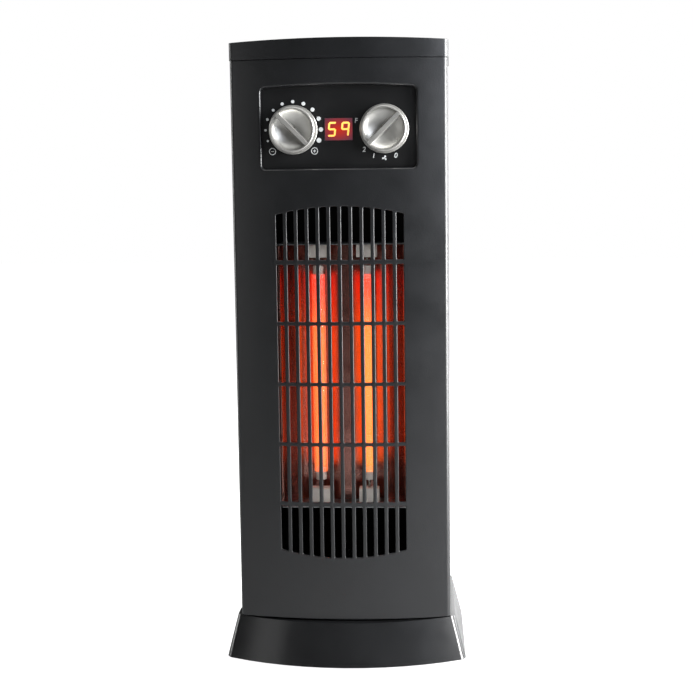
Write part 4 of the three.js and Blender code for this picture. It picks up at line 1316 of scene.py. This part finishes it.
@dataclass
class HeatingChamber:
    """The reflector, the two quartz tubes with their glowing coils, and the ceramics that hold them."""

    sheet_edge: float = 0.2
    plug_edge: float = 0.5
    holder_edge: float = 0.7
    fold_reach: float = 1.6
    flange_width: float = 2.6
    fold_round: float = 1.5
    tube_wall: float = 1.1
    tube_end_round: float = 0.4
    bore_overrun: float = 5.0
    coil_wire: float = 0.55
    coil_pitch: float = 1.7
    coil_steps: int = 20
    quartz_fade: tuple[float, float] = (300, 364)
    coil_fade: tuple[float, float] = (286, 356)
    sides: int = 64

    def build(self, finishes: Finishes) -> None:
        """Builds and dresses the chamber."""
        self.build_reflector(finishes)
        for node in ("upper_end_plate", "lower_end_plate"):
            finish_node(node, self.sheet_edge, 2, finishes.zinc)
        for side in ("left", "right"):
            self.build_tube(side)
            self.build_coil(side)
            for end in ("upper", "lower"):
                for kind, edge in (("tube_plug", self.plug_edge), ("tube_holder", self.holder_edge)):
                    finish_node(f"{kind}_{end}_{side}", edge, 3, finishes.steatite)

    def build_reflector(self, finishes: Finishes) -> None:
        """The reflector sheet, with a folded round where each front flange turns in to its trough."""
        low, high = node_size("reflector")
        fold = (high.x - self.flange_width) * MM
        reach = self.fold_reach * MM
        front = (low.y + self.fold_reach) * MM

        def at_fold(a: Vector, b: Vector) -> bool:
            """An upright edge at the inner end of a flange."""
            return along(2)(a, b) and abs(abs(a.x) - fold) < reach and a.y < front

        reflector = merged_copy("reflector")
        round_edges(reflector, self.fold_round, at_fold, sharp=40, segments=5)
        softened = soften(reflector, self.sheet_edge, 2, 60)
        finish_piece(softened, finishes.reflector, ["reflector"])

    def build_tube(self, side: str) -> None:
        """One quartz tube, with fire-polished ends and a painted glow in its glass."""
        node = "quartz_tube_" + side
        low, high = node_size(node)
        radius = (high.x - low.x) / 2
        base = Vector(((low.x + high.x) / 2, (low.y + high.y) / 2, low.z))
        tube = add_rod(node + "_drawn", radius, high.z - low.z, base, self.sides)
        below = base - Vector((0, 0, self.bore_overrun))
        bore_length = high.z - low.z + 2 * self.bore_overrun
        combine(tube, add_rod("bore", radius - self.tube_wall, bore_length, below, self.sides))
        ends = lying_at(2, low.z * MM, high.z * MM)
        round_edges(tube, self.tube_end_round, ends, sharp=60, segments=3)
        smooth(tube, 50)
        # The glass glows with painted light, the coil's glow spread through it: orange low down, redder
        # higher up.
        hot = "#e0301a" if side == "left" else "#f03c20"
        mild = "#f4662a" if side == "left" else "#ff8a2e"
        name = "quartz_painted_glow_" + side
        skin = Glow(name, "#fff2e8", mild, hot, *self.quartz_fade, 0.36, 0.12, 0.85).material()
        finish_piece(tube, skin, [node])

    def build_coil(self, side: str) -> None:
        """One coil: a ring of wire section, swept up a screw."""
        node = "heating_coil_" + side
        low, high = node_size(node)
        centre = (low + high) / 2
        radius = (high.x - low.x) / 2 - self.coil_wire
        length = high.z - low.z - 2 * self.coil_wire
        turns = round(length / self.coil_pitch)
        deselect()
        bpy.ops.mesh.primitive_circle_add(
            vertices=8,
            radius=self.coil_wire * MM,
            location=(radius * MM, 0, 0),
            rotation=(math.pi / 2, 0, 0),
        )
        coil = settle(bpy.context.object, node + "_wound")
        apply_modifier(
            coil,
            "SCREW",
            angle=2 * math.pi * turns,
            screw_offset=length * MM,
            steps=self.coil_steps * turns,
            render_steps=self.coil_steps * turns,
            use_merge_vertices=False,
        )
        edit(coil)
        bpy.ops.mesh.fill_holes(sides=8)
        bpy.ops.mesh.normals_make_consistent(inside=False)
        bpy.ops.object.mode_set(mode="OBJECT")
        coil.location = Vector((centre.x, centre.y, low.z + self.coil_wire)) * MM
        settle(coil, coil.name)
        smooth(coil, 60)
        name = "glowing_resistance_wire_" + side
        hot = Glow(name, "#ff8040", "#ff8a2c", "#ea2f20", *self.coil_fade, 0.85).material()
        finish_piece(coil, hot, [node])


@dataclass
class Interior:
    """What sits inside the body: its CAD shapes are right, so most are only refined and dressed."""

    edge: float = 0.25

    def build(self, finishes: Finishes) -> None:
        """Refines and dresses every inner node but the spring, which keeps its CAD shape."""
        by_slot = {
            "plated_steel": finishes.nickel,
            "zinc_steel": finishes.zinc,
            "switch_plastic": finishes.switch,
            "circuit_board": finishes.board,
            "fan_plastic": finishes.fan,
            "wire_insulation": finishes.wire,
            "steatite": finishes.steatite,
        }
        bodies = {
            "fan_impeller": Body.FAN,
            "motor_shaft": Body.FAN,
            "tip_plunger": Body.PLUNGER,
            "thermostat_shaft": Body.THERMOSTAT,
            "mode_shaft": Body.MODE,
        }
        for part in frame["record"]["subparts"]:
            node, slot = part["node"], part["material_slot"]
            if frame["nodes"][node].hide_render:
                continue
            if node == "plunger_spring":
                dress(frame["nodes"][node], by_slot[slot])
                continue
            finish_node(node, self.edge, 2, by_slot[slot], bodies.get(node, Body.HEATER))


def main() -> None:
    """Builds the studio and then the heater, from the outside in."""
    logging.basicConfig(level=logging.INFO)
    Studio().build()
    finishes = Finishes()
    FrontPanel().build(finishes)
    Enclosure().build(finishes)
    Controls().build(finishes)
    HeatingChamber().build(finishes)
    Interior().build(finishes)


if __name__ == "__main__":
    main()
